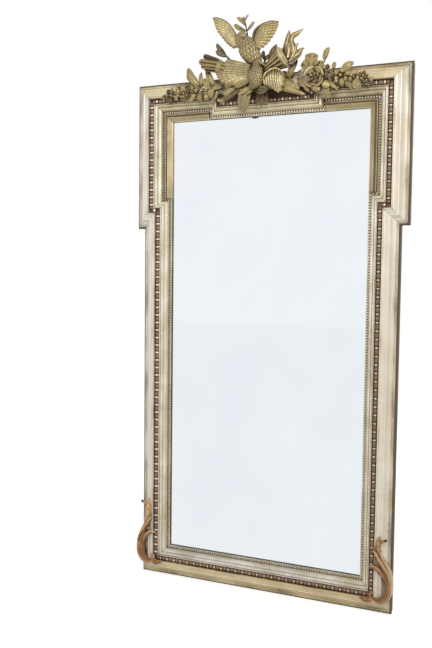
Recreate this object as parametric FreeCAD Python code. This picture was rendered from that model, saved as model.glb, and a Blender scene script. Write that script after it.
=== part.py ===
import FreeCAD, Part
import math
import os

"""Tall framed wall mirror with eared corners, a bead string in the frieze and a carved crest.

All lengths are millimetres. X runs to the right, -Y to the front and Z up.
The origin is the middle of the frame's back plane, which lies on the wall.
"""

# Overall frame, without the crest
FRAME_HEIGHT = 1830.0
BODY_HALF_WIDTH = 476.0
EAR_STEP = 27.5
EAR_HEIGHT = 526.0

# Widths across the face, from the sight edge outwards
INNER_WIDTH = 36.0
FRIEZE_WIDTH = 18.5
OUTER_WIDTH = 56.5
DROP_HALF = 216.0

# Heights of the mouldings above the carcass
CARCASS_THICK = 22.0
INNER_RISE = 35.0
FRIEZE_RISE = 27.0
OUTER_RISE = 45.5
FILL_RISE = 20.5

# Carcass details
EDGE_SETBACK = 2.0
REBATE = 12.0
BOARD_LAP = 10.0
BOARD_THICK = 8.0
BOARD_PLAY = 0.5

# Mirror plate
PLATE_THICK = 5.0
PLATE_COVER = 10.0
BEVEL_WIDTH = 35.0
BEVEL_DROP = 1.5
WEDGE_LENGTH = 70.0
WEDGE_DEPTH = 8.0
WEDGE_COUNT_SIDE = 4
WEDGE_COUNT_END = 2

# Bead string in the frieze
BEAD_PITCH = 27.3
BEAD_LENGTH = 8.0
BEAD_RADIUS = 8.2
SPACER_RADIUS = 5.2

# Hangers let into the back, their pins this far below the frame's top
HANGER_DROP = 330.0
POCKET_WIDTH = 54.0
POCKET_HEIGHT = 96.0
POCKET_DEPTH = 9.0
POCKET_MARGIN = 6.0
HANGER_WIDTH = 34.0
HANGER_LENGTH = 44.0
HANGER_THICK = 2.5
KNUCKLE_LENGTH = 15.0
KNUCKLE_WALL = 1.5
RING_WIRE = 2.3
RING_PLAY = 0.06
RING_HALF_WIDTH = 15.0
RING_DROP = 13.0
SCREW_RADIUS = 2.0
SCREW_PLAY = 0.15
SCREW_HEAD_RADIUS = 3.8
SCREW_HEAD_RISE = 1.6
SCREW_LENGTH = 9.0
SCREW_SPACING = 18.0

# Carving
CREST_MODULE = 100.0
SCROLL_MODULE = 100.0
CHIP_LENGTH = 6.0
FLATNESS = 0.00005
CUT_OVERRUN = 5.0

# Lengths that follow from the ones above
SECTION_WIDTH = INNER_WIDTH + FRIEZE_WIDTH + OUTER_WIDTH
FRIEZE_START = INNER_WIDTH
OUTER_START = INNER_WIDTH + FRIEZE_WIDTH
SIGHT_HALF = BODY_HALF_WIDTH - SECTION_WIDTH
SIGHT_BOTTOM = SECTION_WIDTH
SIGHT_TOP = FRAME_HEIGHT - SECTION_WIDTH - EAR_STEP
EAR_BOTTOM = FRAME_HEIGHT - EAR_HEIGHT
RIDGE = CARCASS_THICK + OUTER_RISE
CARCASS_HALF = BODY_HALF_WIDTH - EDGE_SETBACK
REBATE_HALF = SIGHT_HALF + REBATE
STILE_MIDDLE = (CARCASS_HALF + REBATE_HALF) / 2
RING_DEPTH = POCKET_DEPTH - HANGER_THICK - RING_WIRE
HANGER_HEIGHT = FRAME_HEIGHT - HANGER_DROP
POCKET_TOP = HANGER_HEIGHT + HANGER_LENGTH + POCKET_MARGIN

# Section outlines as shares of width and rise. A pair is a straight step to
# (across, up) and four numbers are an arc through the first pair to the second.
INNER_SHARES = (
    (0, 0), (0, 0.17), (0.11, 0.19), (0.13, 0.14), (0.16, 0.24), (0.23, 0.24), (0.26, 0.16),
    (0.28, 0.30), (0.36, 0.53, 0.58, 0.64), (0.63, 0.64), (0.63, 0.585), (0.66, 0.60),
    (0.79, 0.875, 0.93, 0.80), (0.93, 1), (1, 1), (1, 0),
)
OUTER_SHARES = (
    (0, 0), (0, 0.978), (0.03, 1), (0.075, 1), (0.085, 0.955), (0.24, 0.90, 0.345, 0.75),
    (0.345, 0.715), (0.37, 0.715), (0.415, 0.765, 0.46, 0.705), (0.47, 0.66),
    (0.585, 0.44, 0.78, 0.34), (0.78, 0.30), (0.81, 0.30), (0.81, 0.345), (0.92, 0.32), (1, 0.20), (1, 0),
)
FILL_SHARES = (
    (0, 0), (0, 0.37), (0.09, 0.42), (0.30, 0.56, 0.62, 0.90), (0.72, 0.93), (0.72, 0.66),
    (0.90, 0.66), (0.90, 0.98), (1, 1), (1, 0),
)

# Doves: stations from the beak to the tail as (across, up, forward, half breadth, half depth)
UPPER_BODY_SHARES = (
    (-0.40, 1.05, 0.40, 0.02, 0.02), (-0.49, 1.09, 0.41, 0.07, 0.07), (-0.63, 1.13, 0.41, 0.16, 0.14),
    (-0.66, 0.98, 0.38, 0.19, 0.14), (-0.52, 0.80, 0.36, 0.29, 0.19), (-0.34, 0.56, 0.36, 0.28, 0.20),
    (-0.20, 0.32, 0.34, 0.21, 0.16), (-0.04, 0.10, 0.30, 0.14, 0.10), (0.14, -0.04, 0.26, 0.16, 0.05),
)
LOWER_BODY_SHARES = (
    (0.22, 0.13, 0.48, 0.02, 0.02), (0.14, 0.15, 0.49, 0.06, 0.06), (0.02, 0.14, 0.50, 0.13, 0.12),
    (-0.02, -0.04, 0.50, 0.14, 0.13), (-0.08, -0.26, 0.48, 0.26, 0.21), (-0.16, -0.46, 0.42, 0.24, 0.19),
    (-0.30, -0.58, 0.32, 0.16, 0.10), (-0.50, -0.62, 0.24, 0.18, 0.05), (-0.74, -0.62, 0.20, 0.22, 0.03),
)
# Wings: one feather to a row, from its root on the wing's arm to its tip, as (across, up) twice
UPPER_LEFT_WING_SHARES = (
    (-0.80, 1.12, -0.98, 1.34), (-0.80, 1.10, -1.30, 1.70), (-0.78, 1.06, -1.56, 1.86), (-0.76, 1.02, -1.70, 1.87),
    (-0.74, 0.97, -1.60, 1.62), (-0.72, 0.92, -1.46, 1.38), (-0.70, 0.87, -1.30, 1.14), (-0.68, 0.82, -1.04, 0.86),
)
UPPER_RIGHT_WING_SHARES = (
    (-0.26, 1.00, -0.20, 1.30), (-0.22, 0.98, 0.06, 1.47), (-0.20, 0.95, 0.41, 1.57), (-0.19, 0.91, 0.64, 1.52),
    (-0.18, 0.87, 0.63, 1.33), (-0.18, 0.82, 0.56, 1.16), (-0.18, 0.77, 0.45, 0.99), (-0.19, 0.72, 0.31, 0.84),
    (-0.22, 0.66, 0.14, 0.72),
)
LOWER_LEFT_WING_SHARES = (
    (-0.28, 0.04, -0.98, 0.36), (-0.26, 0.00, -1.22, 0.26), (-0.24, -0.05, -1.38, 0.10), (-0.23, -0.10, -1.52, -0.04),
    (-0.22, -0.16, -1.60, -0.16), (-0.22, -0.22, -1.46, -0.27), (-0.24, -0.28, -1.22, -0.34), (-0.26, -0.34, -0.80, -0.38),
)
LOWER_RIGHT_WING_SHARES = (
    (0.14, -0.40, 0.24, -0.58), (0.22, -0.30, 0.42, -0.66), (0.32, -0.18, 0.60, -0.76), (0.44, -0.10, 0.80, -0.88),
    (0.56, -0.06, 0.90, -0.76), (0.68, -0.07, 0.95, -0.62), (0.78, -0.12, 0.97, -0.46), (0.85, -0.20, 0.94, -0.34),
)
# How far forward the feathers' roots and tips lie
UPPER_WING_FORWARD_SHARES = (0.34, 0.26)
LOWER_LEFT_WING_FORWARD_SHARES = (0.48, 0.40)
LOWER_RIGHT_WING_FORWARD_SHARES = (0.50, 0.44)
WING_THICK_SHARE = 0.10

# Quiver and torch: ends (across, up, forward) and turned outlines (along, radius)
QUIVER_END_SHARES = ((-1.54, 0.23, 0.34), (1.56, -0.90, 0.14))
QUIVER_OUTLINE_SHARES = (
    (0, 0.17), (0.008, 0.26), (0.04, 0.26), (0.05, 0.235), (0.13, 0.24), (0.45, 0.20), (0.76, 0.10), (0.96, 0.055),
    (1, 0.02),
)
ARROW_SHARES = (
    (-1.40, 0.36, 0.38, -2.02, 0.62, 0.32, 0.22, 0), (-1.40, 0.26, 0.42, -2.16, 0.42, 0.32, 0.24, 0),
    (-1.40, 0.14, 0.40, -2.12, 0.25, 0.28, 0.20, 0),
)
TORCH_END_SHARES = ((-1.52, -0.94, 0.18), (0.95, 0.37, 0.36))
TORCH_OUTLINE_SHARES = (
    (0, 0.05), (0.012, 0.10), (0.30, 0.10), (0.56, 0.12), (0.66, 0.17), (0.70, 0.24), (0.84, 0.27), (0.96, 0.33),
    (0.975, 0.36), (1, 0.36),
)
FLAME_SHARES = (
    (0.90, 0.34, 0.36, 1.09, 1.16, 0.36, 0.28, 0.06), (0.98, 0.30, 0.38, 1.53, 1.17, 0.36, 0.34, -0.12),
    (0.90, 0.26, 0.36, 1.58, 0.57, 0.34, 0.30, -0.14), (0.92, 0.34, 0.40, 1.28, 0.86, 0.42, 0.30, 0.06),
)

# Leaves as (root across, up, forward, tip across, up, forward, width, bow)
SPRIG_SHARES = (
    (-0.40, 1.00, 0.40, -0.48, 1.50, 0.40, 0.08, 0.02), (-0.42, 1.28, 0.40, -0.89, 1.61, 0.36, 0.20, 0.05),
    (-0.42, 1.30, 0.39, -0.18, 1.61, 0.36, 0.16, -0.04), (-0.47, 1.42, 0.40, -0.76, 1.79, 0.38, 0.17, -0.05),
    (-0.47, 1.42, 0.38, -0.46, 1.88, 0.38, 0.16, 0.03),
)
LEAF_SHARES = (
    (-1.00, 0.10, 0.14, -1.65, 1.05, 0.18, 0.15, 0.04), (-1.06, 0.20, 0.12, -1.65, 0.80, 0.14, 0.15, -0.05),
    (0.00, -0.12, 0.04, 0.62, 0.80, 0.14, 0.17, -0.05), (-0.02, -0.12, 0.05, 0.13, 0.66, 0.12, 0.16, 0.04),
    (-0.44, -0.46, 0.09, -0.70, -1.30, 0.03, 0.46, -0.03), (0.02, -0.50, 0.08, -0.20, -1.10, 0.04, 0.20, 0.03),
    (0.06, -0.50, 0.09, -0.03, -1.19, 0.03, 0.20, 0), (0.10, -0.50, 0.08, 0.20, -1.14, 0.03, 0.20, -0.03),
    (-0.50, -0.40, 0.10, -1.50, -0.62, 0.08, 0.24, 0.06), (0.60, -0.30, 0.14, 1.34, -0.68, 0.10, 0.26, -0.06),
    (0.80, -0.46, 0.08, 1.29, 0.23, 0.14, 0.26, -0.05), (0.10, -0.52, 0.24, 0.36, -0.74, 0.30, 0.30, -0.06),
)
ROSE_PLACE_SHARE = (1.88, -0.36, 0.02)
ROSE_RADIUS = 34.0
ROSE_RISE = 36.0
ROSE_RING_SHARES = ((1, 0), (1.06, 0.33), (0.91, 0.72), (0.65, 0.67), (0.56, 0.94), (0.18, 1))
ROSE_PETALS = 7
ROSE_LEAF_SHARES = (
    (1.74, -0.20, 0.02, 1.80, 0.42, 0.10, 0.36, 0.04), (1.66, -0.26, 0.02, 1.44, 0.24, 0.08, 0.28, -0.04),
    (1.96, -0.24, 0.02, 2.10, 0.12, 0.08, 0.28, -0.05), (1.62, -0.34, 0.02, 1.27, -0.06, 0.06, 0.22, 0.04),
    (1.20, -0.46, 0.02, 1.76, -0.68, 0.10, 0.22, 0.05), (1.86, -0.52, 0.02, 2.02, -0.86, 0.08, 0.30, -0.03),
    (2.00, -0.46, 0.02, 2.42, -0.74, 0.06, 0.30, 0.03),
)
LEFT_GARLAND_SHARES = (
    (-1.00, -0.54, 0, -2.34, -0.42, 0, 0.22, 0.05), (-1.90, -0.54, 0, -3.60, -0.52, 0, 0.16, -0.04),
    (-2.20, -0.50, 0, -2.62, 0.31, 0.10, 0.26, 0.08), (-2.14, -0.40, 0.02, -2.24, 0.16, 0.08, 0.14, 0.03),
    (-1.40, -0.52, 0, -2.00, 0.18, 0.10, 0.20, 0.04), (-1.76, -0.56, 0, -2.04, -0.08, 0.08, 0.20, -0.03),
    (-2.54, -0.40, 0, -2.86, 0.14, 0.05, 0.10, 0.02), (-2.38, -0.54, 0, -2.80, -0.94, 0, 0.20, 0.03),
    (-3.04, -0.54, 0, -3.50, -0.88, 0, 0.10, 0), (-1.78, -0.50, 0.02, -1.72, -0.93, 0, 0.20, 0.03),
)
LEFT_BUD_SHARES = (
    (-2.12, -0.50, 0.19), (-2.28, -0.68, 0.13), (-3.72, -0.62, 0.10), (-3.46, -0.50, 0.11), (-3.04, -0.56, 0.12),
    (-2.78, -0.72, 0.12), (-3.14, -0.38, 0.12), (-2.56, -0.40, 0.12),
)
RIGHT_GARLAND_SHARES = (
    (2.16, -0.56, 0, 2.26, -1.10, 0, 0.30, 0.03), (2.00, -0.48, 0, 3.20, -0.54, 0, 0.20, -0.04),
    (3.00, -0.54, 0, 3.86, -0.66, 0, 0.15, -0.04), (3.14, -0.52, 0, 3.30, -0.90, 0, 0.20, 0.04),
    (2.78, -0.46, 0, 3.18, 0.00, 0.04, 0.22, -0.05), (2.22, -0.44, 0, 2.32, 0.22, 0.08, 0.10, 0.03),
    (2.48, -0.46, 0, 2.54, 0.08, 0.06, 0.16, -0.03), (2.29, 0.14, 0.06, 2.45, 0.55, 0.10, 0.22, 0.04),
)
RIGHT_BUD_SHARES = (
    (2.70, -0.38, 0.21), (2.84, -0.64, 0.12), (2.30, -0.16, 0.15), (2.56, -0.70, 0.12), (3.46, -0.50, 0.14),
    (3.66, -0.64, 0.12), (3.24, -0.40, 0.12), (2.46, -0.46, 0.13),
)
BUD_RING_SHARES = ((1, 0), (0.90, 0.70), (0.35, 0.95))
BUD_PETALS = 3

# Board behind the crest's middle, and the iron strap behind the upper dove
BACKING_SHARES = (
    (-1.02, -0.60), (1.06, -0.60), (1.10, -0.20), (0.84, -0.06), (0.20, -0.02), (-0.50, -0.02), (-0.96, -0.14),
)
BACKING_THICK_SHARE = 0.12
STRAP_SHARES = ((-0.32, -0.40), (-0.18, -0.40), (-0.18, 0.86), (-0.32, 0.86))
STRAP_THICK_SHARE = 0.03

# Corner scroll from the outer bottom corner: (across, up, half breadth, forward of crown and of back)
SCROLL_BAND_SHARES = (
    (-0.20, 2.77, 0.03, 0.05, 0), (-0.34, 2.73, 0.08, 0.09, 0), (-0.45, 2.56, 0.12, 0.10, -0.12),
    (-0.47, 2.28, 0.13, 0.08, -0.14), (-0.38, 2.03, 0.12, 0.07, -0.20), (-0.24, 1.80, 0.13, 0.08, -0.34),
    (-0.12, 1.56, 0.13, 0.10, -0.34), (-0.07, 1.30, 0.13, 0.12, -0.34), (-0.07, 1.04, 0.135, 0.12, -0.34),
    (-0.13, 0.80, 0.14, 0.12, -0.34), (-0.27, 0.60, 0.14, 0.10, -0.30), (-0.44, 0.53, 0.12, 0.08, -0.14),
    (-0.60, 0.60, 0.07, 0.08, -0.10), (-0.66, 0.76, 0.03, 0.07, 0.02),
)
SCROLL_HOOK_SHARES = (
    (-0.74, 1.70, 0.03, 0.09, 0.02), (-0.54, 1.70, 0.08, 0.10, -0.02), (-0.32, 1.60, 0.10, 0.08, -0.14),
    (-0.14, 1.38, 0.09, 0.04, -0.30),
)
SCROLL_LEAF_SHARES = (
    (-0.42, 2.38, -0.10, -0.16, 2.52, -0.08, 0.14, 0.03), (-0.44, 2.30, -0.06, -0.70, 2.44, 0.06, 0.16, 0.03),
    (-0.40, 2.06, -0.06, -0.68, 2.12, 0.06, 0.18, 0.03), (-0.48, 0.54, -0.10, -1.04, 0.60, 0.02, 0.22, 0.03),
)
SCROLL_WAIST_SHARES = (0.70, 0.80)

# A smoothed outline just above the outer moulding, which the scrolls' backs are hollowed to
HOLLOW_SHARES = (
    (0, 0), (0, 1), (0.075, 1), (0.27, 0.93), (0.36, 0.80), (0.46, 0.80), (0.50, 0.64), (0.78, 0.37), (0.93, 0.36),
    (1, 0.26), (1, 0),
)
LEAF_RISE_SHARE = 0.42

BLADE_SHARES = ((0, 0.30), (0.28, 0.88), (0.58, 1), (0.82, 0.62))
RING_SIDES = 8


def at(across, out, up):
    """A point from its place across, its height off the wall and its height above the frame's foot."""
    return FreeCAD.Vector(across, -out, up - FRAME_HEIGHT / 2)


def save(node, *solids):
    """Write one node's solids as a STEP file."""
    shape = solids[0] if len(solids) == 1 else Part.makeCompound(list(solids))
    shape.exportStep(os.path.join("parts", node + ".step"))


def polygon_face(points):
    """A flat face inside a closed run of points."""
    return Part.Face(Part.makePolygon(list(points) + [points[0]]))


def slab(corners, low, high):
    """A flat piece: corners (across, up) carried from one height off the wall to another."""
    face = polygon_face([at(x, low, z) for x, z in corners])
    return face.extrude(at(0, high - low, 0) - at(0, 0, 0))


def box(x_span, out_span, z_span):
    """A square block between three pairs of limits."""
    low, high = x_span
    foot, head = z_span
    return slab([(low, foot), (high, foot), (high, head), (low, head)], *out_span)


def mirrored(solid):
    """The same piece on the other side of the middle."""
    return solid.mirror(FreeCAD.Vector(0, 0, 0), FreeCAD.Vector(1, 0, 0))


# Mouldings: straight runs of one section, mitred where the outline turns

def inner_corners(offset):
    """Corners of the inner outline, offset from the sight edge, counted up the right side and round."""
    side = SIGHT_HALF + offset
    ear = side + EAR_STEP
    foot = SIGHT_BOTTOM - offset
    jog = EAR_BOTTOM + SECTION_WIDTH - offset
    head = SIGHT_TOP + EAR_STEP + offset
    drop = SIGHT_TOP + offset
    half = DROP_HALF - offset
    right = [(side, foot), (side, jog), (ear, jog), (ear, head), (half, head), (half, drop)]
    return right + [(-x, z) for x, z in reversed(right)]


def outer_corners(offset):
    """Corners of the outer outline, which keeps its ears but runs straight along the top."""
    side = SIGHT_HALF + offset
    ear = side + EAR_STEP
    foot = SIGHT_BOTTOM - offset
    jog = EAR_BOTTOM + SECTION_WIDTH - offset
    head = SIGHT_TOP + EAR_STEP + offset
    right = [(side, foot), (side, jog), (ear, jog), (ear, head)]
    return right + [(-x, z) for x, z in reversed(right)]


def fill_corners(offset):
    """Corners of the corner fill, which lies inside the inner outline at the right ear."""
    side = SIGHT_HALF + offset
    foot = EAR_BOTTOM + SECTION_WIDTH
    head = SIGHT_TOP + offset
    return [(side, foot), (side, head), (DROP_HALF, head)]


def section_face(width, rise, shares, place):
    """The face of a moulding's section; place turns (across, up) into a point in space."""
    def spot(across, up):
        return place(across * width, up * rise)
    edges = []
    here = spot(*shares[0])
    for step in shares[1:]:
        there = spot(*step[-2:])
        if len(step) == 2:
            edges.append(Part.makeLine(here, there))
        else:
            edges.append(Part.Arc(here, spot(*step[:2]), there).toShape())
        here = there
    edges.append(Part.makeLine(here, spot(*shares[0])))
    return Part.Face(Part.Wire(edges))


def run(corners, index, low, width, rise, shares):
    """One moulded length between two corners, cut to its mitres by its own plan."""
    inside = corners(low)
    outside = corners(low + width)
    after = (index + 1) % len(inside)
    plan = [inside[index], inside[after], outside[after], outside[index]]
    along = FreeCAD.Vector(inside[after][0] - inside[index][0], 0, inside[after][1] - inside[index][1])
    along.normalize()
    outward = along.cross(FreeCAD.Vector(0, 1, 0))
    start = at(inside[index][0], CARCASS_THICK, inside[index][1])
    ends = [(at(x, CARCASS_THICK, z) - start).dot(along) for x, z in plan]
    if (at(outside[index][0], CARCASS_THICK, outside[index][1]) - start).dot(outward) < 0:
        outward = outward * -1
    foot = start + along * (min(ends) - CUT_OVERRUN)

    def place(across, up):
        return foot + outward * across + FreeCAD.Vector(0, -up, 0)
    face = section_face(width, rise, shares, place)
    length = max(ends) - min(ends) + 2 * CUT_OVERRUN
    envelope = slab(plan, CARCASS_THICK - CUT_OVERRUN, CARCASS_THICK + rise + CUT_OVERRUN)
    return face.extrude(along * length).common(envelope).Solids[0]


def inner_run(index):
    return run(inner_corners, index, 0, INNER_WIDTH, INNER_RISE, INNER_SHARES)


def outer_run(index):
    return run(outer_corners, index, OUTER_START, OUTER_WIDTH, OUTER_RISE, OUTER_SHARES)


def fill_run(index):
    return run(fill_corners, index, 0, EAR_STEP, FILL_RISE, FILL_SHARES)


def make_mouldings():
    """Every mitred length: the outer moulding, the inner moulding and the corner fills."""
    for name, index in (("side", 0), ("return", 1), ("ear", 2)):
        for place, piece in (("outer", outer_run(index)), ("inner", inner_run(index))):
            save(place + "_moulding_" + name + "_right", piece)
            save(place + "_moulding_" + name + "_left", mirrored(piece))
    save("outer_moulding_top", outer_run(3))
    save("outer_moulding_bottom", outer_run(7))
    corner = [inner_run(3), inner_run(4)]
    save("inner_moulding_top_right", *corner)
    save("inner_moulding_top_left", *[mirrored(piece) for piece in corner])
    save("inner_moulding_top_middle", inner_run(5))
    save("inner_moulding_bottom", inner_run(11))
    fill = [fill_run(0), fill_run(1)]
    save("corner_fill_right", *fill)
    save("corner_fill_left", *[mirrored(piece) for piece in fill])


def make_frieze():
    """Four flat boards between the mouldings, cut to the same outlines."""
    inside = inner_corners(FRIEZE_START)
    outside = outer_corners(OUTER_START)
    top = CARCASS_THICK + FRIEZE_RISE
    side = slab(inside[0:4] + outside[3::-1], CARCASS_THICK, top)
    save("frieze_board_right", side)
    save("frieze_board_left", mirrored(side))
    save("frieze_board_top", slab(inside[3:9] + outside[4:2:-1], CARCASS_THICK, top))
    save("frieze_board_bottom", slab([inside[11], inside[0], outside[0], outside[7]], CARCASS_THICK, top))


# Bead string: beads and spacers in turn along each straight of the frieze

def skin(rings):
    """A closed solid over rings of points; a ring of one point is a tip, other end rings are capped."""
    faces = []
    for first, second in zip(rings, rings[1:]):
        count = max(len(first), len(second))
        for i in range(count):
            k = (i + 1) % count
            near = [first[i % len(first)], first[k % len(first)]]
            far = [second[k % len(second)], second[i % len(second)]]
            corners = near + far
            corners = [p for j, p in enumerate(corners) if p.distanceToPoint(corners[j - 1]) > 0]
            faces.extend(flat_faces(corners))
    for ring in (rings[0], rings[-1]):
        if len(ring) > 1:
            faces.extend(flat_faces(ring))
    shell = Part.Shell(faces)
    shell.sewShape()
    solid = Part.Solid(shell)
    if solid.Volume < 0:
        solid.reverse()
    return solid


def flat_faces(corners):
    """One face where the corners lie in a plane, or else a triangle for each side from the first corner."""
    first = corners[0]
    normal = (corners[1] - first).cross(corners[2] - first)
    flatness = max(abs((p - first).dot(normal)) for p in corners)
    if len(corners) == 3 or flatness < normal.Length * FLATNESS:
        return [polygon_face(corners)]
    return [polygon_face([first, p, q]) for p, q in zip(corners[1:], corners[2:])]


def string_length(start, end):
    """The turned and split string along one straight, flat on the frieze board: spacer, bead, spacer."""
    along = FreeCAD.Vector(end[0] - start[0], 0, end[1] - start[1])
    length = along.Length
    along.normalize()
    outward = along.cross(FreeCAD.Vector(0, 1, 0))
    floor = at(start[0], CARCASS_THICK + FRIEZE_RISE, start[1])
    count = max(1, round(length / BEAD_PITCH))
    pitch = length / count

    def ring(place, radius):
        middle = floor + along * place
        return [
            middle + outward * (radius * math.cos(turn)) + FreeCAD.Vector(0, -radius * math.sin(turn), 0)
            for turn in (0, math.pi / 3, 2 * math.pi / 3, math.pi)
        ]
    rings = [ring(0, SPACER_RADIUS)]
    for i in range(count):
        middle = pitch * (i + 1 / 2)
        rings += [
            ring(middle - BEAD_LENGTH / 2, SPACER_RADIUS), ring(middle, BEAD_RADIUS),
            ring(middle + BEAD_LENGTH / 2, SPACER_RADIUS),
        ]
    return skin(rings + [ring(length, SPACER_RADIUS)])


def make_strings():
    """The bead string of each side, each straight stopped short of its corner by a bead's radius."""
    corners = inner_corners(FRIEZE_START + FRIEZE_WIDTH / 2)
    lengths = []
    for i, here in enumerate(corners):
        there = corners[(i + 1) % len(corners)]
        along = FreeCAD.Vector(there[0] - here[0], 0, there[1] - here[1])
        stop = BEAD_RADIUS / along.Length
        ends = [
            (here[0] + (there[0] - here[0]) * share, here[1] + (there[1] - here[1]) * share)
            for share in (stop, 1 - stop)
        ]
        lengths.append(string_length(*ends))
    save("bead_string_right", *lengths[0:3])
    save("bead_string_top", *lengths[3:8])
    save("bead_string_left", *lengths[8:11])
    save("bead_string_bottom", lengths[11])


# Carcass, mirror plate and back

def hanger_pocket():
    """The recess in the right stile's back that the hanger lies in."""
    return box(
        (STILE_MIDDLE - POCKET_WIDTH / 2, STILE_MIDDLE + POCKET_WIDTH / 2),
        (-CUT_OVERRUN, POCKET_DEPTH), (POCKET_TOP - POCKET_HEIGHT, POCKET_TOP),
    )


def screw_places():
    """The two screws of the right hanger, as (across, up)."""
    middle = HANGER_HEIGHT + HANGER_LENGTH * 2 / 3
    return [(STILE_MIDDLE + side * SCREW_SPACING / 2, middle) for side in (-1, 1)]


def screw_hole(place, radius):
    """A round hole from the wall side into the stile."""
    across, up = place
    depth = POCKET_DEPTH + SCREW_LENGTH + SCREW_PLAY
    return Part.makeCylinder(radius, depth, at(across, 0, up), FreeCAD.Vector(0, -1, 0))


def make_carcass():
    """Two stiles and two rails, half lapped at the corners, with a block to pad out each ear."""
    head = FRAME_HEIGHT - EDGE_SETBACK
    half_lap = CARCASS_THICK / 2
    board_half = REBATE_HALF + BOARD_LAP
    rail_spans = (
        (EDGE_SETBACK, SIGHT_BOTTOM - REBATE), (SIGHT_TOP + REBATE, head),
    )
    board_span = (SIGHT_BOTTOM - REBATE - BOARD_LAP, SIGHT_TOP + REBATE + BOARD_LAP)
    recess = box((-board_half, board_half), (-CUT_OVERRUN, BOARD_THICK), board_span)
    stile = box((REBATE_HALF, CARCASS_HALF), (0, CARCASS_THICK), (EDGE_SETBACK, head))
    for name, span in zip(("bottom", "top"), rail_spans):
        rail = box((-CARCASS_HALF, CARCASS_HALF), (0, CARCASS_THICK), span)
        for side in (-1, 1):
            lap = sorted((side * REBATE_HALF, side * (CARCASS_HALF + CUT_OVERRUN)))
            rail = rail.cut(box(lap, (half_lap, CARCASS_THICK + CUT_OVERRUN), span))
        notch = (REBATE_HALF - CUT_OVERRUN, CARCASS_HALF + CUT_OVERRUN)
        stile = stile.cut(box(notch, (-CUT_OVERRUN, half_lap), span))
        save("carcass_rail_" + name, rail.cut(recess))
    stile = stile.cut(recess).cut(hanger_pocket())
    for place in screw_places():
        stile = stile.cut(screw_hole(place, SCREW_RADIUS + SCREW_PLAY))
    save("carcass_stile_right", stile)
    save("carcass_stile_left", mirrored(stile))
    ear = box((CARCASS_HALF, CARCASS_HALF + EAR_STEP), (0, CARCASS_THICK), (EAR_BOTTOM + EDGE_SETBACK, head))
    save("ear_block_right", ear)
    save("ear_block_left", mirrored(ear))


def make_plate():
    """The mirror plate, bevelled all round, its edge hidden by the inner moulding."""
    half = SIGHT_HALF + PLATE_COVER
    foot = SIGHT_BOTTOM - PLATE_COVER
    head = SIGHT_TOP + PLATE_COVER
    back = CARCASS_THICK - PLATE_THICK

    def rectangle(inset, out):
        low, high = foot + inset, head - inset
        side = half - inset
        corners = [(-side, low), (side, low), (side, high), (-side, high)]
        return [at(x, out, z) for x, z in corners]
    save("mirror_plate", skin([
        rectangle(0, back), rectangle(0, CARCASS_THICK - BEVEL_DROP), rectangle(BEVEL_WIDTH, CARCASS_THICK),
    ]))


def make_wedges():
    """Blocks glued in the rebate behind the plate."""
    back = CARCASS_THICK - PLATE_THICK
    front_span = (back - WEDGE_DEPTH, back)
    blocks = []
    opening = SIGHT_TOP - SIGHT_BOTTOM
    for i in range(WEDGE_COUNT_SIDE):
        middle = SIGHT_BOTTOM + opening * (i + 1 / 2) / WEDGE_COUNT_SIDE
        span = (middle - WEDGE_LENGTH / 2, middle + WEDGE_LENGTH / 2)
        block = box((SIGHT_HALF, REBATE_HALF), front_span, span)
        blocks += [block, mirrored(block)]
    for i in range(WEDGE_COUNT_END):
        middle = SIGHT_HALF * (2 * i + 1 - WEDGE_COUNT_END) / WEDGE_COUNT_END
        span = (middle - WEDGE_LENGTH / 2, middle + WEDGE_LENGTH / 2)
        blocks.append(box(span, front_span, (SIGHT_BOTTOM - REBATE, SIGHT_BOTTOM)))
        blocks.append(box(span, front_span, (SIGHT_TOP, SIGHT_TOP + REBATE)))
    save("plate_wedges", *blocks)


def make_back_boards():
    """Two thin boards that close the back, let in flush with the carcass."""
    half = REBATE_HALF + BOARD_LAP - BOARD_PLAY
    foot = SIGHT_BOTTOM - REBATE - BOARD_LAP + BOARD_PLAY
    head = SIGHT_TOP + REBATE + BOARD_LAP - BOARD_PLAY
    middle = FRAME_HEIGHT * 2 / 3
    save("back_board_lower", box((-half, half), (0, BOARD_THICK), (foot, middle)))
    save("back_board_upper", box((-half, half), (0, BOARD_THICK), (middle, head)))


# Hangers and rings

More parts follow.
